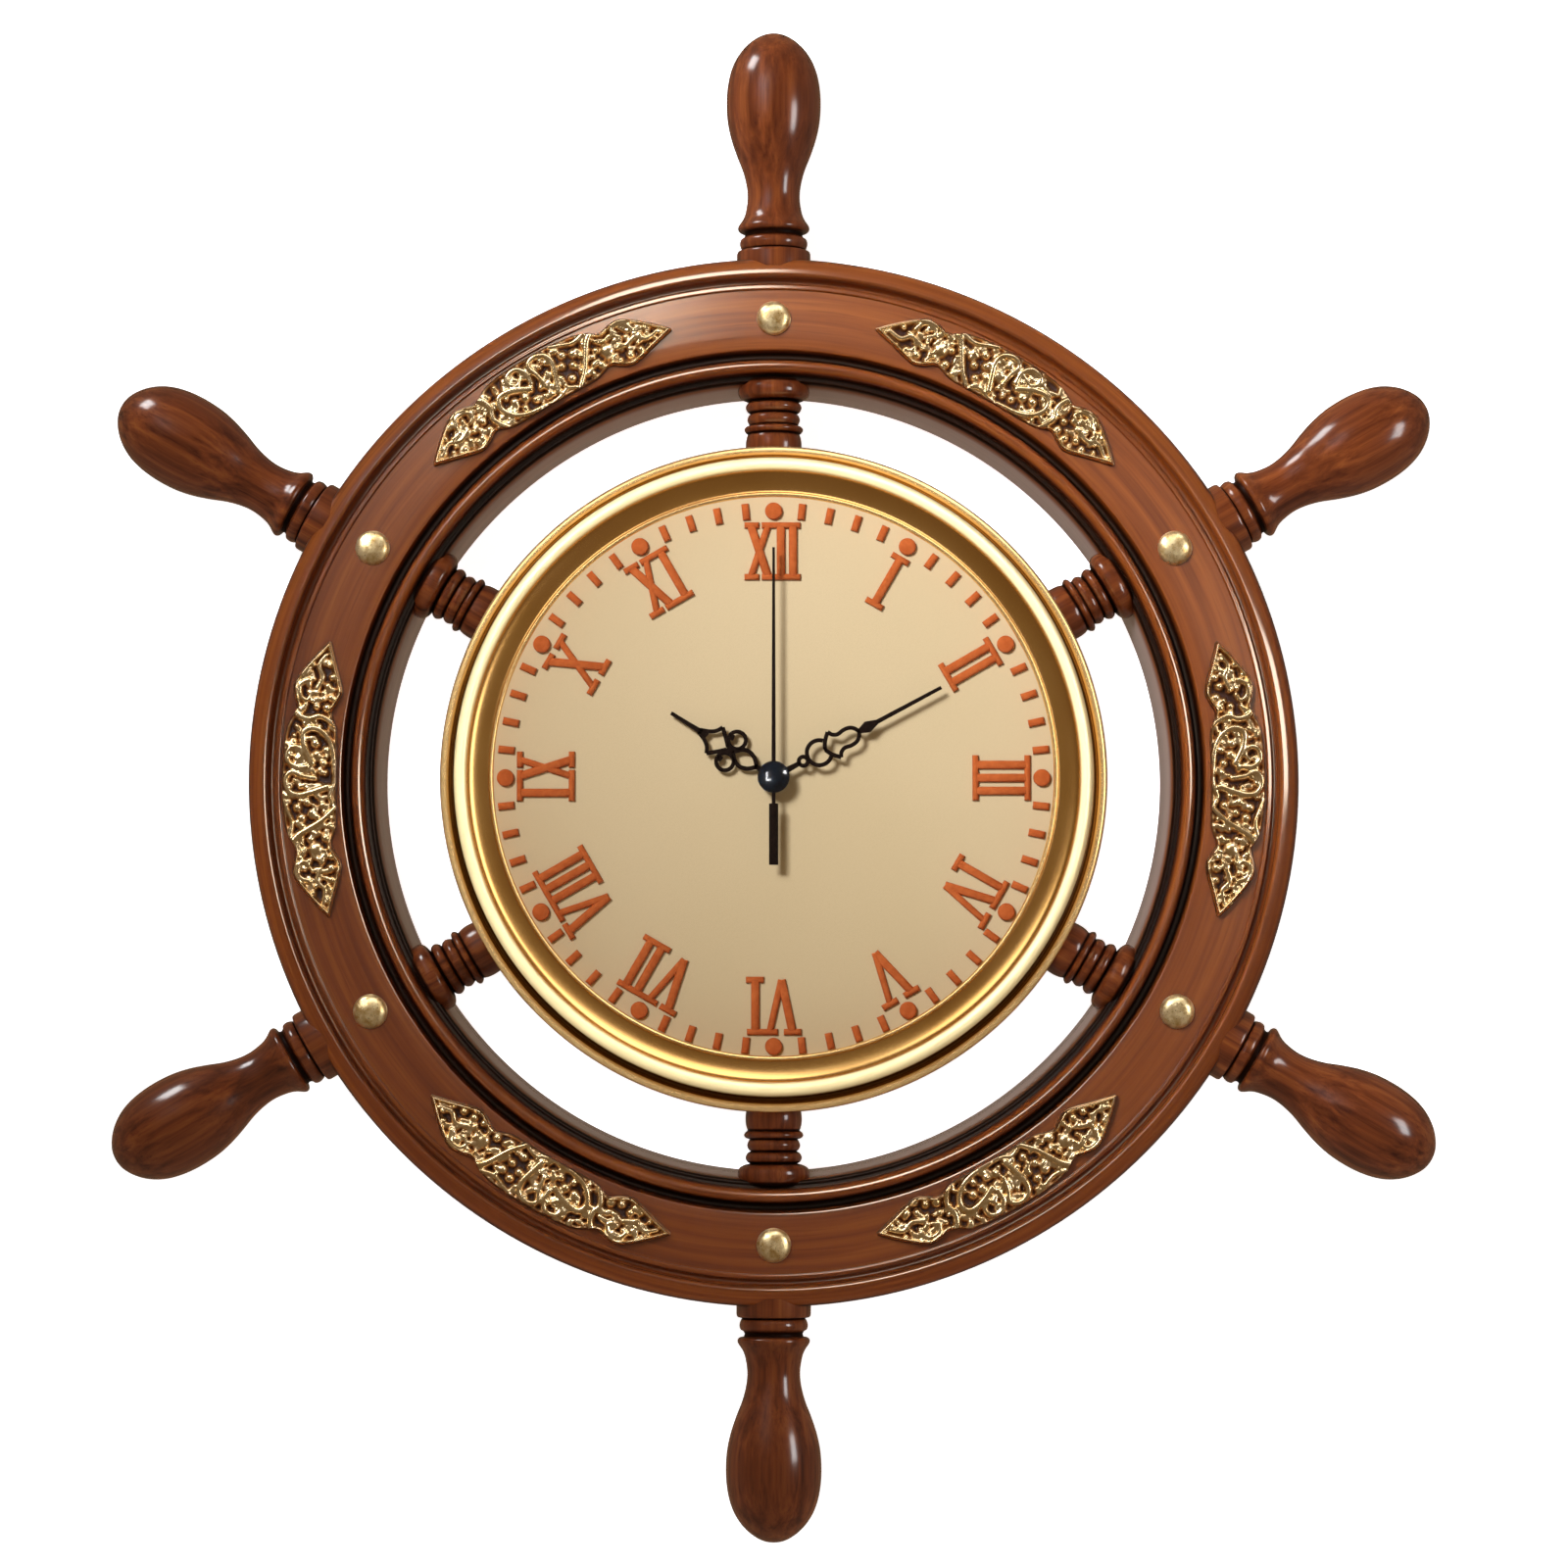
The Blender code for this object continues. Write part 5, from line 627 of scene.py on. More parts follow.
def cutAway(piece, tool):  # takes the tool's shape out of the piece
    cutter = toObject("cutter", toMesh("cutter", tool))
    cut = piece.modifiers.new("cut", "BOOLEAN")
    cut.object, cut.operation, cut.solver = cutter, "DIFFERENCE", "EXACT"
    shaped = shapeOf(piece)
    piece.modifiers.clear()
    piece.data = shaped
    bpy.data.objects.remove(cutter)


def sharpen(piece):  # crisp edges again where a cutter met the piece
    bm = bmesh.new()
    bm.from_mesh(piece.data)
    for edge in bm.edges:
        edge.smooth = edge.calc_face_angle(0) < radians(30)
    bm.to_mesh(piece.data)
    bm.free()


r, d, c = hub["radius"], hub["depth"], hub["round"]
bm = spinRing(joinRuns([(0, 0), (r - c, 0), [(r - c * 0.3, c * 0.3), (r, c)],
                        (r, d - c), [(r - c * 0.3, d - c * 0.3), (r - c, d)], (0, d)]), 144)
toClock(bm)
hubPiece = makePiece("hubBlock", bm, "wheel", "wood", ["hub_block"], hubWood)
for opening in ((*hub["pocket"], axisHeight / mm), hub["plate"], hub["slot"]):
    cutAway(hubPiece, blockTool(*opening))
radius, depth = hub["screwRecess"]
for degrees in hub["screwTurns"]:
    tool = spinRing([(0, -1), (radius, -1), (radius, depth), (0, depth)], 32)
    move(tool, up=hub["screwCircle"])
    toClock(tool, degrees)
    cutAway(hubPiece, tool)
sharpen(hubPiece)
print("hub is cut")


# the bezel and its lens

bezel = {
    "line": [  # from the seat on the hub round the outside to the lens
        (88.6, 28.3), (99.4, 28.3),
        [(99.85, 28.5), (100.0, 29.0), (100.0, 30.3), (99.8, 31.1), (99.2, 31.65), (98.3, 31.8), (97.5, 31.5),
         (97.0, 30.7)],  # back bead
        [(96.3, 30.2), (95.6, 30.5), (95.25, 31.4)], (95.2, 40.0),  # groove and wall
        # crest, cove and lip
        [(95.15, 41.9), (94.85, 43.6), (94.2, 44.8), (93.4, 45.35), (92.6, 45.48), (91.8, 45.1),
         (91.3, 44.5)],
        [(90.7, 43.6), (89.7, 42.9), (88.3, 42.4), (86.8, 42.1), (85.4, 42.0), (84.8, 42.1)],
        [(84.5, 42.5), (84.05, 42.65), (83.6, 42.45), (83.35, 42.0), (83.3, 41.4), (83.6, 40.9),
         (84.2, 40.7)],
        (88.2, 40.7), (88.2, 38.2), (88.6, 38.2),
    ],
    # painted shade in the groove behind the crest
    "paintedShadeRecesses": [(96.1, 1.0, 1.0)],
    "satin": [(93.3, 2.4, 1.9), (99.0, 1.6, 0.35), (83.9, 0.7, 0.25)],
    "paintedHighlightFrom": 31,  # the satin and its painted highlight start at this depth
    "lens": [(0, 38.5), (87.7, 38.5), (88.0, 38.8), (88.0, 40.2), (87.7, 40.5), (0, 40.5)],
}
bm = spinRing(joinRuns(bezel["line"]), 240)
ringGrain(bm, bezel["paintedShadeRecesses"])
# satin gilding, painted paler as a painted highlight on the crest, the flange and the lip
satin = bm.verts.layers.float.new("satin")
for vert in bm.verts:
    shown = vert.co.y < -bezel["paintedHighlightFrom"] * mm
    vert[satin] = near(hypot(vert.co.x, vert.co.z) / mm, bezel["satin"]) if shown else 0
toClock(bm)
makePiece("bezelRing", bm, "wheel", "brass", ["bezel"], bezelBrass)
bm = spinRing(bezel["lens"], 144)
toClock(bm)
makePiece("lensDisc", bm, "wheel", "glass", ["lens"], clearLens)
print("bezel is set")


# the dial plate, its raised marks and its numerals

dial = {
    "plate": [(4.3, 28.3), (90.0, 28.3), (90.3, 28.6), (90.3, 29.1), (90.1, 29.3), (4.5, 29.3), (4.3, 29.1)],
    "face": 29.3, "rise": 1.5, "round": 0.8,
    # how far thin strokes and bars lie under a full rise, where they cross
    "lowerStroke": 0.06, "lowerBar": 0.02,
    "tick": (78.0, 82.9, 2.2),  # from, to and width
    "dot": (80.3, 2.6),  # circle and radius
    "numeral": (59.5, 76.9),  # foot and head
    "bar": 1.85, "thick": 2.5, "thin": 2.0,
}
# uprights, strokes of a V or X as (foot, head, thick), head bars as (from, to), foot bars if they differ
numerals = {
    1: ([0], [], [(-2.9, 2.9)]),
    2: ([-1.95, 1.95], [], [(-4.7, 4.7)]),
    3: ([-3.9, 0, 3.9], [], [(-6.8, 6.8)]),
    4: ([-5.5], [(2.3, -1.2, 1), (2.3, 5.6, 0)], [(-8.0, 1.3), (3.0, 8.3)], [(-8.3, -2.9)]),
    5: ([], [(0, -3.7, 1), (0, 3.7, 0)], [(-6.3, -1.1), (1.1, 6.3)], []),
    6: ([5.5], [(-2.3, -5.6, 1), (-2.3, 1.2, 0)], [(-8.3, -3.0), (-1.3, 8.0)], [(2.9, 8.3)]),
    7: ([3.5, 7.3], [(-4.1, -7.4, 1), (-4.1, -0.9, 0)], [(-10.0, -4.7), (-3.6, 9.9)], [(0.8, 9.9)]),
    8: ([1.2, 5.0, 8.8], [(-6.1, -9.2, 1), (-6.1, -3.0, 0)], [(-11.8, -6.6), (-5.6, 11.4)], [(-1.4, 11.4)]),
    9: ([-4.5], [(0.5, 5.5, 0), (5.5, 0.5, 1)], [(-7.0, 2.4), (3.1, 7.9)]),
    10: ([], [(-3.5, 3.5, 0), (3.5, -3.5, 1)], [(-6.0, -0.9), (0.9, 6.0)]),
    11: ([4.5], [(-5.5, -0.5, 0), (-0.5, -5.5, 1)], [(-7.9, -3.1), (-2.4, 7.0)]),
    12: ([2.15, 5.8], [(-6.9, -1.7, 0), (-1.7, -6.9, 1)], [(-8.8, -4.4), (-3.6, 8.05)]),
}


def addBar(bm, foot, head, width, rise, degrees):  # a rounded bar, its ends as (across, out) in mm
    across, out = head[0] - foot[0], head[1] - foot[1]
    part = bmesh.new()
    for vert in bmesh.ops.create_cube(part, size=1)["verts"]:
        vert.co = Vector((vert.co.x * width, vert.co.y * rise, vert.co.z * hypot(across, out))) * mm
    roundOff(part, [edge for edge in part.edges if all(vert.co.y < 0 for vert in edge.verts)], dial["round"])
    middle = Vector(((foot[0] + head[0]) / 2, -(dial["face"] + rise / 2 - 0.05),
                     (foot[1] + head[1]) / 2)) * mm
    slant = Matrix.Rotation(atan2(across, out), 4, "Y")
    placed = clockTurn(degrees) @ Matrix.Translation(middle) @ slant
    bmesh.ops.transform(part, matrix=placed, verts=part.verts)
    addShape(bm, part)


def markPiece(name, bm):  # painted shade at the foot of each mark
    glaze = bm.verts.layers.float.new("glaze")
    for vert in bm.verts:
        vert[glaze] = 1 if vert.co.y > -(dial["face"] + 0.2) * mm else 0
    toClock(bm)
    makePiece(name, bm, "wheel", "dial", [], markEnamel)


bm = spinRing(dial["plate"], 144)
toClock(bm)
makePiece("dialPlate", bm, "wheel", "dial", ["dial"], dialEnamel)

bm = bmesh.new()
foot, head = dial["numeral"]
low, high = foot + dial["bar"] / 2, head - dial["bar"] / 2
for hour, (uprights, slants, *bars) in numerals.items():
    turn = hour * 30
    for across in uprights:
        addBar(bm, (across, low), (across, high), dial["thick"], dial["rise"], turn)
    for atFoot, atHead, thick in slants:
        width = dial["thick"] if thick else dial["thin"]
        rise = dial["rise"] - dial["lowerStroke"] * (1 - thick)
        addBar(bm, (atFoot, low), (atHead, high), width, rise, turn)
    for ends, level in ((bars[0], high), (bars[-1], low)):
        for start, end in ends:
            addBar(bm, (start, level), (end, level), dial["bar"], dial["rise"] - dial["lowerBar"], turn)
markPiece("romanNumerals", bm)

bm = bmesh.new()
start, end, width = dial["tick"]
for minute in range(60):
    if minute % 5:
        addBar(bm, (0, start), (0, end), width, dial["rise"], minute * 6)
markPiece("minuteTicks", bm)

bm = bmesh.new()
circle, radius = dial["dot"]
face, top = dial["face"], dial["face"] + dial["rise"]
for hour in range(12):
    part = spinRing(joinRuns([(0, face - 0.1), (radius, face - 0.1), (radius, top - 0.7),
                              [(radius - 0.2, top - 0.2), (radius - 0.8, top)], (0, top)]), 36)
    move(part, up=circle)
    bmesh.ops.transform(part, matrix=clockTurn(hour * 30), verts=part.verts)
    addShape(bm, part)
markPiece("hourDots", bm)
print("dial is marked")


# the hands: strokes of (places, half widths), each place as (along, across) in mm from the axis

def bothSides(points, width):  # a smooth stroke and its mirror image across the hand
    return [(smoothLine([(along, across * side) for along, across in points]), [width]) for side in (1, -1)]


hands = {
    "hourHand": {
        "body": "hours", "node": "hour_hand", "turn": 302.2, "depth": 31.5, "boss": 4.6,
        "strokes": [
            ([(3.6, 0), (6.6, 0)], [1.05, 0.68]),
            *bothSides([(6.0, 0), (8.0, 1.9), (10.4, 2.65), (12.6, 1.9), (14.4, 0)], 0.68),
            ([(14.2, 0), (16.6, 0)], [0.68, 0.78]),
            *bothSides([(16.4, 0.4), (18.0, 2.0), (20.9, 4.6)], 0.66),
            *bothSides([(20.9, 4.6), (21.8, 2.9), (23.4, 1.6), (26.3, 0.35)], 0.64),
            (smoothLine([(25.6, 0), (24.4, 0.1), (23.5, 0)]), [0.5, 0.85]),
            ([(25.4, 0), (30.0, 0), (36.3, 0)], [0.9, 0.68, 0.58]),
        ],
        "scrolls": [((15.2, 3.6), 2.62, 1), ((14.9, -3.75), 2.62, -1)],
    },
    "minuteHand": {
        "body": "minutes", "node": "minute_hand", "turn": 61.8, "depth": 33.3, "boss": 4.0,
        "strokes": [
            ([(3.4, 0), (8.8, 0)], [1.0, 0.7]),
            ([(10.05 + 1.35 * cos(k * tau / 20), 1.35 * sin(k * tau / 20))
              for k in range(21)], [0.66]),
            ([(15.5 - 3.75 * cos(k * radians(9)), 3.75 * sin(k * radians(9)))
              for k in range(-15, 16)], [0.66]),
            *bothSides([(17.5, 0.2), (18.6, 2.2), (20.6, 4.3)], 0.66),
            ([(17.1, 0), (17.9, 0)], [0.75]),
            *bothSides([(20.6, 4.3), (21.4, 3.0), (22.9, 2.3), (25.0, 2.6), (26.9, 2.35), (28.2, 1.4),
                        (29.0, 0)], 0.64),
            (smoothLine([(28.7, 0), (30.0, 0), (31.8, 0), (33.4, 0), (35.2, 0)]),
             [0.55, 1.1, 1.8, 1.3, 0.65]),
            ([(35.0, 0), (46.0, 0), (56.9, 0)], [0.7, 0.62, 0.54]),
        ],
        "scrolls": [],
    },
}
handThickness = 0.6


def strokeHand(name, hand):  # round wires along the strokes, pressed flat, on a boss
    curve = bpy.data.curves.new(name, "CURVE")
    curve.dimensions, curve.bevel_depth, curve.bevel_resolution, curve.use_fill_caps = "3D", mm, 3, True
    strokes = list(hand["strokes"])
    for middle, reach, side in hand["scrolls"]:  # a ring with a ball inside
        along, across = middle
        angles = [k * tau / 24 for k in range(25)]
        ring = [(along + reach * cos(angle), across + reach * sin(angle)) for angle in angles]
        ball = [(along + 2.3, across - side * 0.3), (along + 1.7, across), (along + 1.1, across + side * 0.1)]
        strokes += (ring, [0.64]), (ball, [0.6, 1.0, 0.85])
    for points, widths in strokes:
        spline = curve.splines.new("POLY")
        spline.points.add(len(points) - 1)
        places = np.linspace(0, 1, len(widths)) if len(widths) > 1 else [0]
        for index, (point, place) in enumerate(zip(points, spline.points)):
            place.co = (point[1] * mm, 0, point[0] * mm, 1)
            place.radius = float(np.interp(index / (len(points) - 1), places, widths))
    tube = toObject(name, curve)
    bm = bmesh.new()
    bm.from_mesh(shapeOf(tube))
    bpy.data.objects.remove(tube)
    bmesh.ops.remove_doubles(bm, verts=bm.verts, dist=1e-7)
    bmesh.ops.recalc_face_normals(bm, faces=bm.faces)
    half = handThickness / 2 * mm
    for vert in bm.verts:  # pressed flat, front and back
        vert.co.y = max(-half, min(half, vert.co.y))
    boss = hand["boss"]
    addShape(bm, spinRing([(0, -0.35), (boss - 0.2, -0.35), (boss, -0.15),
                           (boss, 0.15), (boss - 0.2, 0.35), (0, 0.35)], 48))
    move(bm, depth=hand["depth"])
    toClock(bm, hand["turn"])
    makePiece(name, bm, hand["body"], "hand", [hand["node"]], handLacquer)


for name, hand in hands.items():
    strokeHand(name, hand)

secondHand = {
    # place and half width
    "depth": 35.1, "needle": [(0, 0.64), (30, 0.55), (68.9, 0.38)], "tail": (-7.9, 0.56),
    "weight": (-26.3, -8.0, 1.38), "edge": 0.16,
    "cap": [(0, 34.9), (4.4, 34.9),
            [(4.8, 35.1), (4.65, 35.4), (4.3, 35.75), (3.8, 36.15), (3.2, 36.54), (2.5, 36.9), (1.7, 37.17),
             (0.9, 37.34), (0, 37.4)]],
}
bm = bmesh.new()
needle, (tailEnd, tailHalf) = secondHand["needle"], secondHand["tail"]
weightEnd, weightStart, weightHalf = secondHand["weight"]
outline = needle + [(along, -half) for along, half in reversed(needle)]
outline += [(tailEnd, -tailHalf), (weightStart, -weightHalf), (weightEnd, -weightHalf)]
outline += [(weightEnd, weightHalf), (weightStart, weightHalf), (tailEnd, tailHalf)]
face = bm.faces.new([bm.verts.new((across * mm, 0, along * mm)) for along, across in outline])
walls = bmesh.ops.extrude_face_region(bm, geom=[face])["geom"]
bmesh.ops.translate(bm, vec=(0, handThickness * mm, 0), verts=justVerts(walls))
bmesh.ops.recalc_face_normals(bm, faces=bm.faces)
front = [edge for edge in bm.edges if all(vert.co.y < 0.1 * mm for vert in edge.verts)]
roundOff(bm, [edge for edge in front if edge.calc_face_angle(0) > 0.8], secondHand["edge"])
move(bm, depth=secondHand["depth"] + handThickness / 2)
toClock(bm)
makePiece("secondHand", bm, "seconds", "hand", ["second_hand"], handLacquer)
bm = spinRing(joinRuns(secondHand["cap"]), 64)
toClock(bm)
makePiece("handCap", bm, "seconds", "hand", [], capLacquer)
print("hands are fitted")


# what shows at the back: cell, hanger, screws and knob, in mm from the hook or the clock's axis

rear = {
    "cell": {"middle": (11.1, -18.9), "ends": (0.2, 23.7, 5.4), "line": [  # ends: where the metal is bare
        (-24.2, 0), (-24.2, 4.4), [(-23.8, 4.9), (-23.8, 5.7), (-24.0, 6.1), (-23.9, 6.7), (-23.4, 7.05)],
        (23.8, 7.1), [(24.3, 6.8), (24.5, 6.2), (24.3, 5.6), (24.0, 5.2)], [(24.1, 3.2), (24.5, 2.7)],
        [(25.5, 2.6), (25.8, 2.2), (25.8, 0)]]},
    "plate": {"size": (22, 38.5, 0.3, 1.9, 2.0, -4.75), "edge": 0.3, "slot": (5, 0), "eye": (5.0, -8),
              "screwHoles": (10.0, -19.5), "hole": (3.2, 1.6)},
    "hangerScrews": {"places": [(0, 10.0), (0, -19.5)], "nodes": ["hanger_screw_1", "hanger_screw_2"],
                     "head": 2.9, "shank": 1.3, "from": 0.3, "to": 10.3, "cone": 1.6},
    "bezelScrews": {"places": [], "nodes": ["bezel_screw_1", "bezel_screw_2", "bezel_screw_3"],
                    "head": 2.8, "shank": 1.2, "from": 1.1, "to": 33.0, "cone": 1.4},
    "cross": (0.75, 3.0, 0.8),  # width, length and depth of a screw's recess
    "knob": {"middle": (-8.31, -47.6), "radius": 4.9, "flutes": 22, "groove": 0.93, "depths": (0.8, 3.5),
             "edge": 0.25, "rim": 0.8, "dish": 0.3},
    "cover": {"collar": 6.6, "edge": (-25.2, 25.2, -70.0, -36.8), "border": 1.1, "rise": 0.45, "depth": 3.7},
}


for angle in map(radians, hub["screwTurns"]):
    rear["bezelScrews"]["places"].append((hub["screwCircle"] * sin(angle),
                                          hub["screwCircle"] * cos(angle) + axisHeight / mm))


def crossHead(screws):  # countersunk screws with a cross recess, the head toward the wall
    head, shank, start, stop, cone = (screws[key] for key in ("head", "shank", "from", "to", "cone"))
    width, length, depth = rear["cross"]
    for place, node in zip(screws["places"], screws["nodes"]):
        bm = spinRing([(0, start), (head - 0.25, start), (head, start + 0.25), (shank, start + cone),
                       (shank, stop - 1.5), (0, stop)], 40)
        bmesh.ops.translate(bm, vec=Vector((place[0], 0, place[1])) * mm, verts=bm.verts)
        piece = makePiece(node.replace("_s", "S").replace("_", ""), bm, "wheel", "steel", [node], zincSteel)
        for across, up in ((width, length), (length, width)):
            tool = blockTool(across, up, start - 1, start + depth, 0.2, place[1])
            move(tool, place[0])
            cutAway(piece, tool)
        sharpen(piece)


def makeCell(cell):  # an AA cell with a plain sleeve
    depth, drop = cell["middle"]  # in front of the wall and over the clock's axis
    bm = spinLine([(along * mm, 0, radius * mm) for along, radius in joinRuns(cell["line"])], (1, 0, 0), 48)
    middle, reach, bare = (size * mm for size in cell["ends"])
    for face in bm.faces:
        place = face.calc_center_median()
        face.material_index = 1 if abs(place.x - middle) > reach and hypot(place.y, place.z) < bare else 0
    bmesh.ops.translate(bm, vec=(0, -depth * mm, axisHeight + drop * mm), verts=bm.verts)
    makePiece("cellSleeve", bm, "wheel", "battery", ["battery"], cellSleeve, zincSteel)


def makeHanger(plate):  # the keyhole plate, with its slot and its two countersunk holes
    bm = blockTool(*plate["size"])
    roundOff(bm, faceRims(bm), plate["edge"])
    piece = makePiece("keyholePlate", bm, "wheel", "steel", ["keyhole_hanger"], zincSteel)
    width, top = plate["slot"]
    radius, drop = plate["eye"]
    height, middle = top - drop + width / 2, (top + width / 2 + drop) / 2
    cutAway(piece, blockTool(width, height, -1, 4, width / 2 - 0.05, middle))
    hole, cone = plate["hole"]
    for reach, middle, slope in ((radius, drop, 0), *((hole, place, cone) for place in plate["screwHoles"])):
        tool = spinRing([(0, -1), (reach, -1), (reach, 0.3), (reach - slope, 2.2), (reach - slope, 4),
                         (0, 4)], 40)
        move(tool, up=middle)
        cutAway(piece, tool)
    sharpen(piece)


def makeKnob(knob):  # a fluted cap on the setting knob
    back, front = knob["depths"]
    bm = bmesh.new()
    made = bmesh.ops.create_circle(bm, cap_ends=True, radius=knob["radius"] * mm, segments=knob["flutes"] * 4)
    for vert in made["verts"][::4]:
        vert.co *= knob["groove"]
    bmesh.ops.rotate(bm, cent=(0, 0, 0), matrix=Matrix.Rotation(pi / 2, 3, "X"), verts=bm.verts)
    made = bmesh.ops.extrude_face_region(bm, geom=list(bm.faces))["geom"]
    bmesh.ops.translate(bm, vec=(0, (front - back) * mm, 0), verts=justVerts(made))
    bmesh.ops.recalc_face_normals(bm, faces=bm.faces)
    roundOff(bm, faceRims(bm), knob["edge"])
    ends = [face for face in bm.faces if len(face.verts) > 40 and face.normal.y > 0.9]
    bmesh.ops.inset_region(bm, faces=ends, thickness=knob["rim"] * mm, depth=-knob["dish"] * mm)
    bmesh.ops.translate(bm, vec=Vector((knob["middle"][0], -front, knob["middle"][1])) * mm, verts=bm.verts)
    makePiece("knobCap", bm, "knob", "case", [], knobPlastic)


def makeCover(cover, knob):  # raised lines on the movement's cover: a border and a collar round the knob
    left, right, low, high = cover["edge"]
    depths = cover["depth"] - cover["rise"], cover["depth"] + 0.3
    bm = blockTool(right - left, high - low, *depths, 2.0, (low + high) / 2)
    back = [face for face in bm.faces if face.normal.y > 0.9]
    bmesh.ops.inset_region(bm, faces=back, thickness=cover["border"] * mm, depth=0)
    inner = max((face for face in bm.faces if face.normal.y > 0.9), key=lambda face: face.calc_area())
    bmesh.ops.translate(bm, vec=(0, -(cover["rise"] - 0.05) * mm, 0), verts=inner.verts)
    outside, inside = cover["collar"], cover["collar"] - 1.2
    collar = spinRing([(outside, 3.9), (outside, 3.3), (outside - 0.3, 3.05), (outside - 0.9, 3.05),
                       (inside, 3.3), (inside, 3.9)], 48)
    bmesh.ops.translate(collar, vec=Vector((knob["middle"][0], 0, knob["middle"][1])) * mm,
                        verts=collar.verts)
    addShape(bm, collar)
    makePiece("coverBorder", bm, "wheel", "case", [], casePlastic)


makeCell(rear["cell"])
makeHanger(rear["plate"])
crossHead(rear["hangerScrews"])
crossHead(rear["bezelScrews"])
makeKnob(rear["knob"])
makeCover(rear["cover"], rear["knob"])
print("back is fitted")


# what stays as it is in the frame gets its finish here

carried = {
    gearBrass: ["second_wheel", "third_wheel", "centre_wheel", "mounting_nut"],
    knobPlastic: ["minute_wheel", "hour_wheel", "step_wheel", "setting_knob", "middle_plate"],
    casePlastic: ["movement_base", "movement_cover"],
    zincSteel: ["contact_plus", "contact_minus", "stator"],
    rotorSteel: ["rotor"], copperWire: ["coil"], boardResin: ["circuit_board"],
    washerRubber: ["mounting_washer"],
}
for finish, names in carried.items():
    for name in names:
        for place in frame["nodes"][name].material_slots:
            place.material = finish
print("carried nodes are finished")


# camera, lights and backdrop

view = {"azimuth": 0.0, "elevation": -3.7, "distance": 1.55, "width": 0.4728,
        "target": (0, -0.02, axisHeight), "shift": 0.0066, "rise": -0.0024}
eye = bpy.data.cameras.new("photoCamera")
camera = toObject("photoCamera", eye)
around, up = radians(view["azimuth"]), radians(view["elevation"])
back = Vector((sin(around) * cos(up), -cos(around) * cos(up), sin(up)))
camera.location = Vector(view["target"]) + back * view["distance"]
camera.rotation_euler = (-back).to_track_quat("-Z", "Y").to_euler()
eye.sensor_width, eye.lens = 36, 36 * view["distance"] / view["width"]
eye.shift_x, eye.shift_y = view["shift"], view["rise"]
scene.camera = camera

# where each lamp stands from the clock's middle, its width and height (all in metres), its watts, whether it
# shows in matt or glossy looks or both, and the pieces that it is kept to
lamps = {
    "handShadow": ((-0.52, -1.10, 0.62), 0.36, 0.36, 1.16, "diffuse", ""),
    "tipLight": ((-0.71, -0.24, 0.94), 0.34, 0.34, 5.6, "both", "turnedSpoke wornStud"),
    "tallStrip": ((0.95, -0.75, 0.11), 0.28, 0.5, 4.8, "both", "turnedSpoke wornStud"),
    "reliefPanel": ((-0.6, -0.9, 0.7), 0.6, 0.6, 9.0, "gloss", "castPlaque wornStud"),
    "capLeft": ((-0.80, -1.08, 0.16), 0.2, 0.9, 75, "gloss", "handCap"),
    "capFoot": ((-0.62, -1.2, -0.34), 0.8, 0.2, 62, "gloss", "handCap"),
    "capEdge": ((1.15, -0.5, 0.55), 0.4, 0.4, 42, "gloss", "handCap"),
    "reliefTop": ((0.25, -0.7, 1.0), 1.0, 0.5, 5.0, "gloss", "castPlaque wornStud"),
    "reliefSide": ((0.95, -0.75, 0.11), 0.26, 0.5, 4.0, "both", "castPlaque"),
    "coveLeft": ((-0.6, -0.9, 0.7), 0.6, 0.6, 3.0, "gloss", "bezelRing"),
    "coveTop": ((0.35, -0.8, 0.9), 1.0, 0.8, 7.5, "gloss", "bezelRing"),
    "coveRight": ((0.95, -0.8, 0.2), 0.5, 0.8, 5.0, "gloss", "bezelRing"),
    "crestFill": ((-0.3, -1.35, 0.0), 0.5, 0.5, 2.0, "diffuse", "bezelRing"),
    "rimTop": ((-0.19, -1.06, 0.72), 0.36, 0.9, 26, "gloss", "rimFront"),
    "rimSide": ((0.72, -1.06, 0.19), 0.9, 0.30, 22, "gloss", "rimFront"),
}
lampTints = {"handShadow": (0.91, 0.97, 1.14), "rimTop": (1, 0.86, 0.68), "rimSide": (1, 0.86, 0.68)}
# the rest are turned to the middle
lampAims = {"handShadow": (0.12, 0, 0.12), "crestFill": (-0.10, 0, -0.10)}
lampSpreads = {"handShadow": 32, "crestFill": 60}
for name, (stand, width, height, watts, kind, only) in lamps.items():
    lamp = bpy.data.lights.new(name, "AREA")
    lamp.shape, lamp.size, lamp.size_y = "RECTANGLE", width, height
    lamp.energy, lamp.spread = watts, radians(lampSpreads.get(name, 180))
    lamp.color = lampTints.get(name, (1, 1, 1))
    holder = toObject(name, lamp)
    holder.visible_glossy, holder.visible_diffuse = kind != "diffuse", kind != "gloss"
    holder.location = Vector(view["target"]) + Vector(stand)
    aim = Vector(stand) - Vector(lampAims.get(name, (0, 0, 0)))
    holder.rotation_euler = aim.to_track_quat("Z", "Y").to_euler()
    pieces = bpy.data.collections.new(name)
    if only:  # this lamp is only seen in these pieces
        holder.light_linking.receiver_collection = pieces
    else:  # the tall bezel is left out of this lamp's shadows, which keeps the dial's edge light
        holder.light_linking.blocker_collection = pieces
    for piece in scene.objects:
        named = piece.name.startswith(tuple((only or "bezel").split()))
        if named if only else piece.type == "MESH" and not named:
            pieces.objects.link(piece)

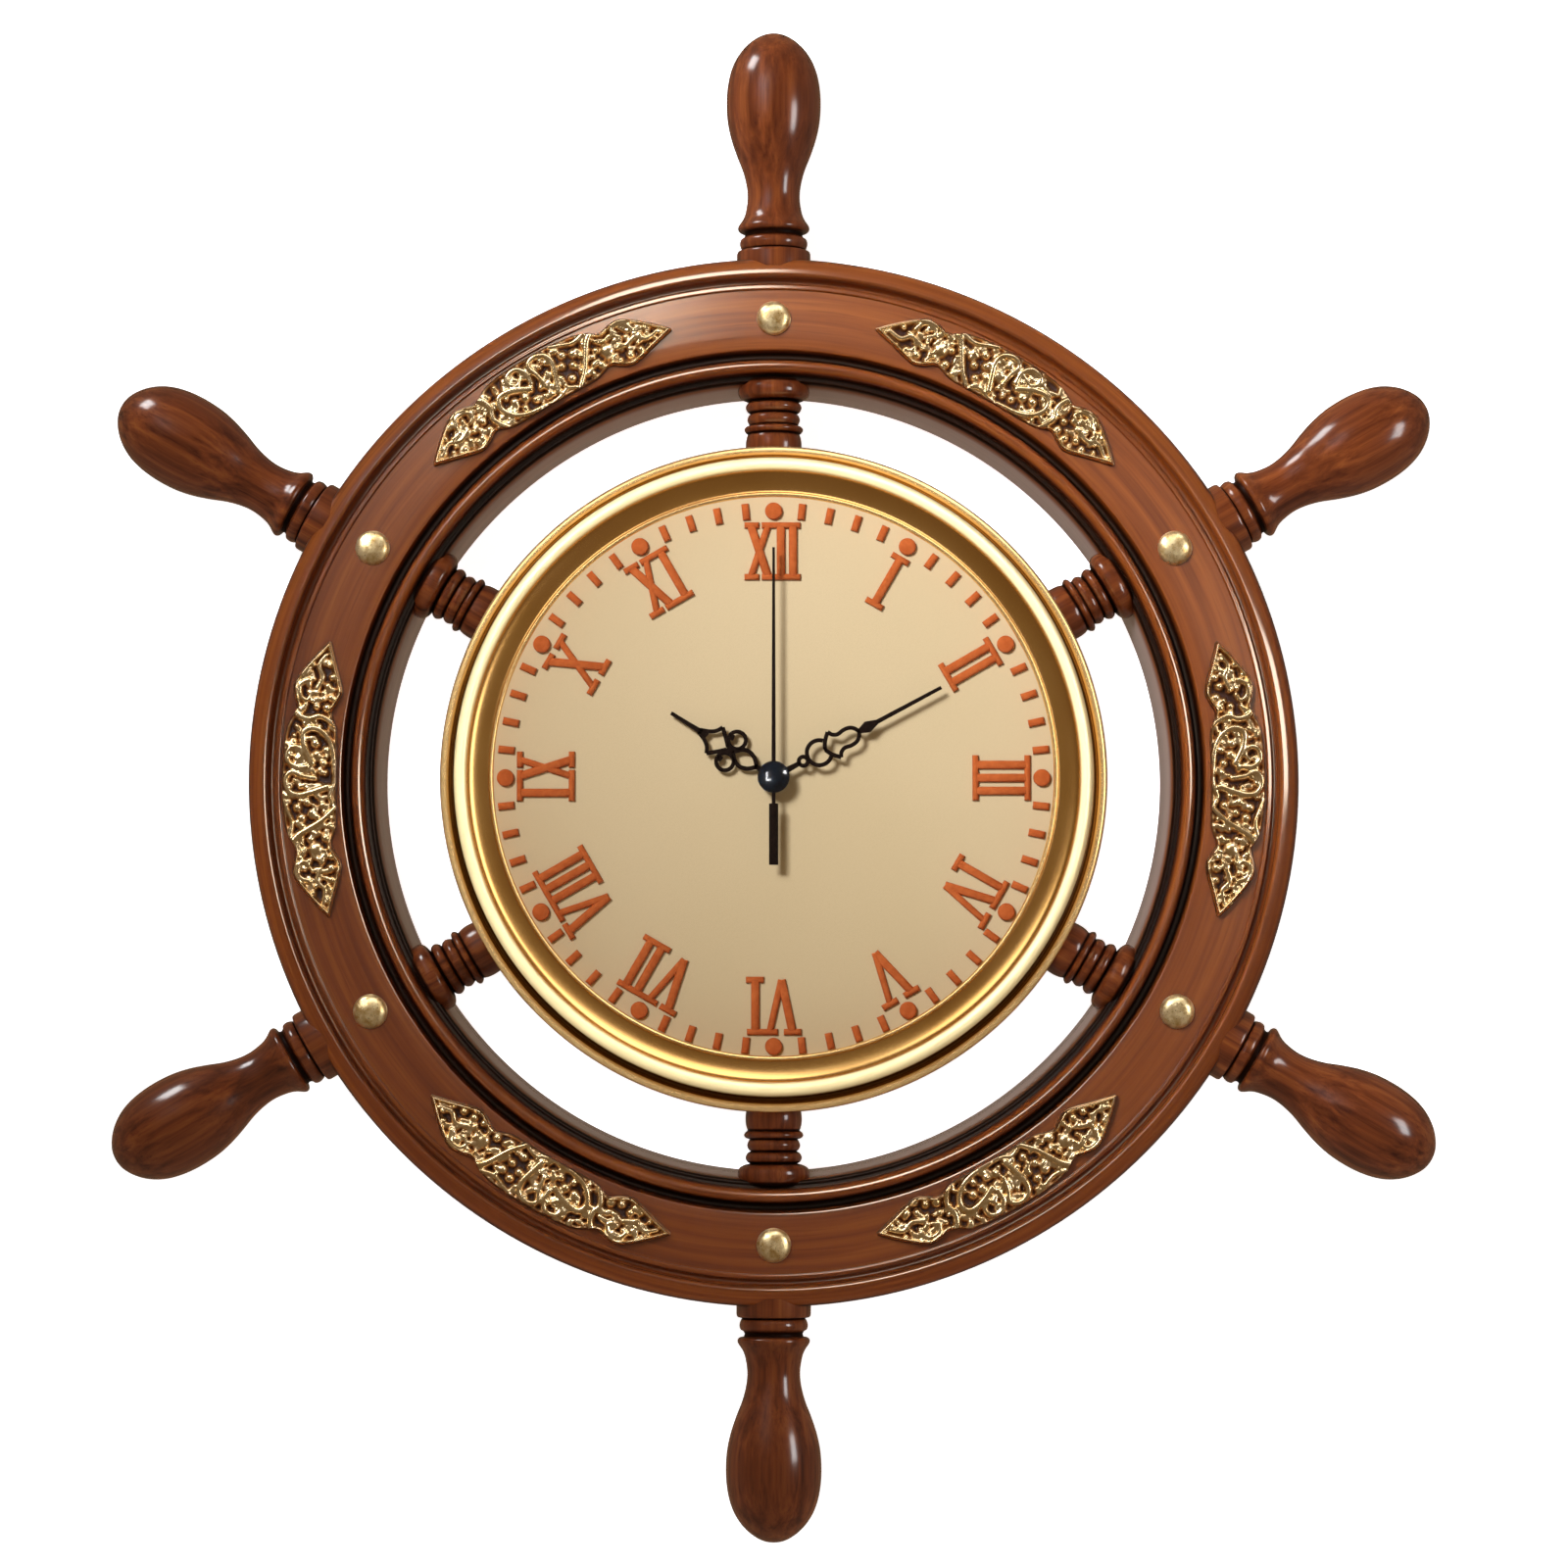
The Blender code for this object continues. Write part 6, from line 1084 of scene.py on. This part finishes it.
world = bpy.data.worlds.new("studio")
world.use_nodes = True
nodes, links = world.node_tree.nodes, world.node_tree.links
nodes["Background"].inputs["Color"].default_value = (1.0, 0.70, 0.42, 1)  # what the brass and lacquer mirror
nodes["Background"].inputs["Strength"].default_value = 0.17
backdrop, chooser = nodes.new("ShaderNodeBackground"), nodes.new("ShaderNodeMixShader")
path = nodes.new("ShaderNodeLightPath")
backdrop.inputs["Color"].default_value = (0.9, 0.9, 0.9, 1)
for source, target in ((path.outputs["Is Camera Ray"], chooser.inputs[0]),
                       (nodes["Background"].outputs[0], chooser.inputs[1]),
                       (backdrop.outputs[0], chooser.inputs[2]),
                       (chooser.outputs[0], nodes["World Output"].inputs["Surface"])):
    links.new(source, target)
scene.world = world
scene.view_settings.view_transform = "Standard"


def stageSheet(name, corners, finish):
    bm = bmesh.new()
    bm.faces.new([bm.verts.new(corner) for corner in corners])
    sheet = toObject(name, toMesh(name, bm))
    sheet.data.materials.append(finish)
    sheet.visible_glossy = False  # keeps the lacquer's edges dark


def paleFinish(name, openBehind):
    finish = Finish(name, Roughness=0.9, Emission_Color=(1, 1, 1, 1),
                    Emission_Strength=0.95 if openBehind else 0.0)
    fleck = finish.noise(finish.place(), 300, 2)
    finish.link(Base_Color=finish.ramp(fleck, (0.3, paint(240, 240, 240)), (0.7, paint(244, 244, 244))))
    if openBehind:  # the wall isn't seen from behind
        return finish.clearWhere(finish.add("NewGeometry").outputs["Backfacing"])
    # the floor stays pale, and lends the clock no light
    seen = finish.add("LightPath").outputs["Is Camera Ray"]
    return finish.link(Emission_Strength=finish.range(seen, 0, 1, 0, 0.4))


stage = {"half": 4, "reach": 5, "floor": -1.1, "top": 3, "behind": 0.0005}  # metres
half, reach, low, top, wall = (stage[key] for key in ("half", "reach", "floor", "top", "behind"))
stageSheet("paleWall", [(-half, wall, low), (half, wall, low), (half, wall, top), (-half, wall, top)],
           paleFinish("wallPaint", True))
stageSheet("paleFloor", [(-half, -reach, low), (half, -reach, low), (half, reach, low), (-half, reach, low)],
           paleFinish("floorPaint", False))
print("studio is lit")
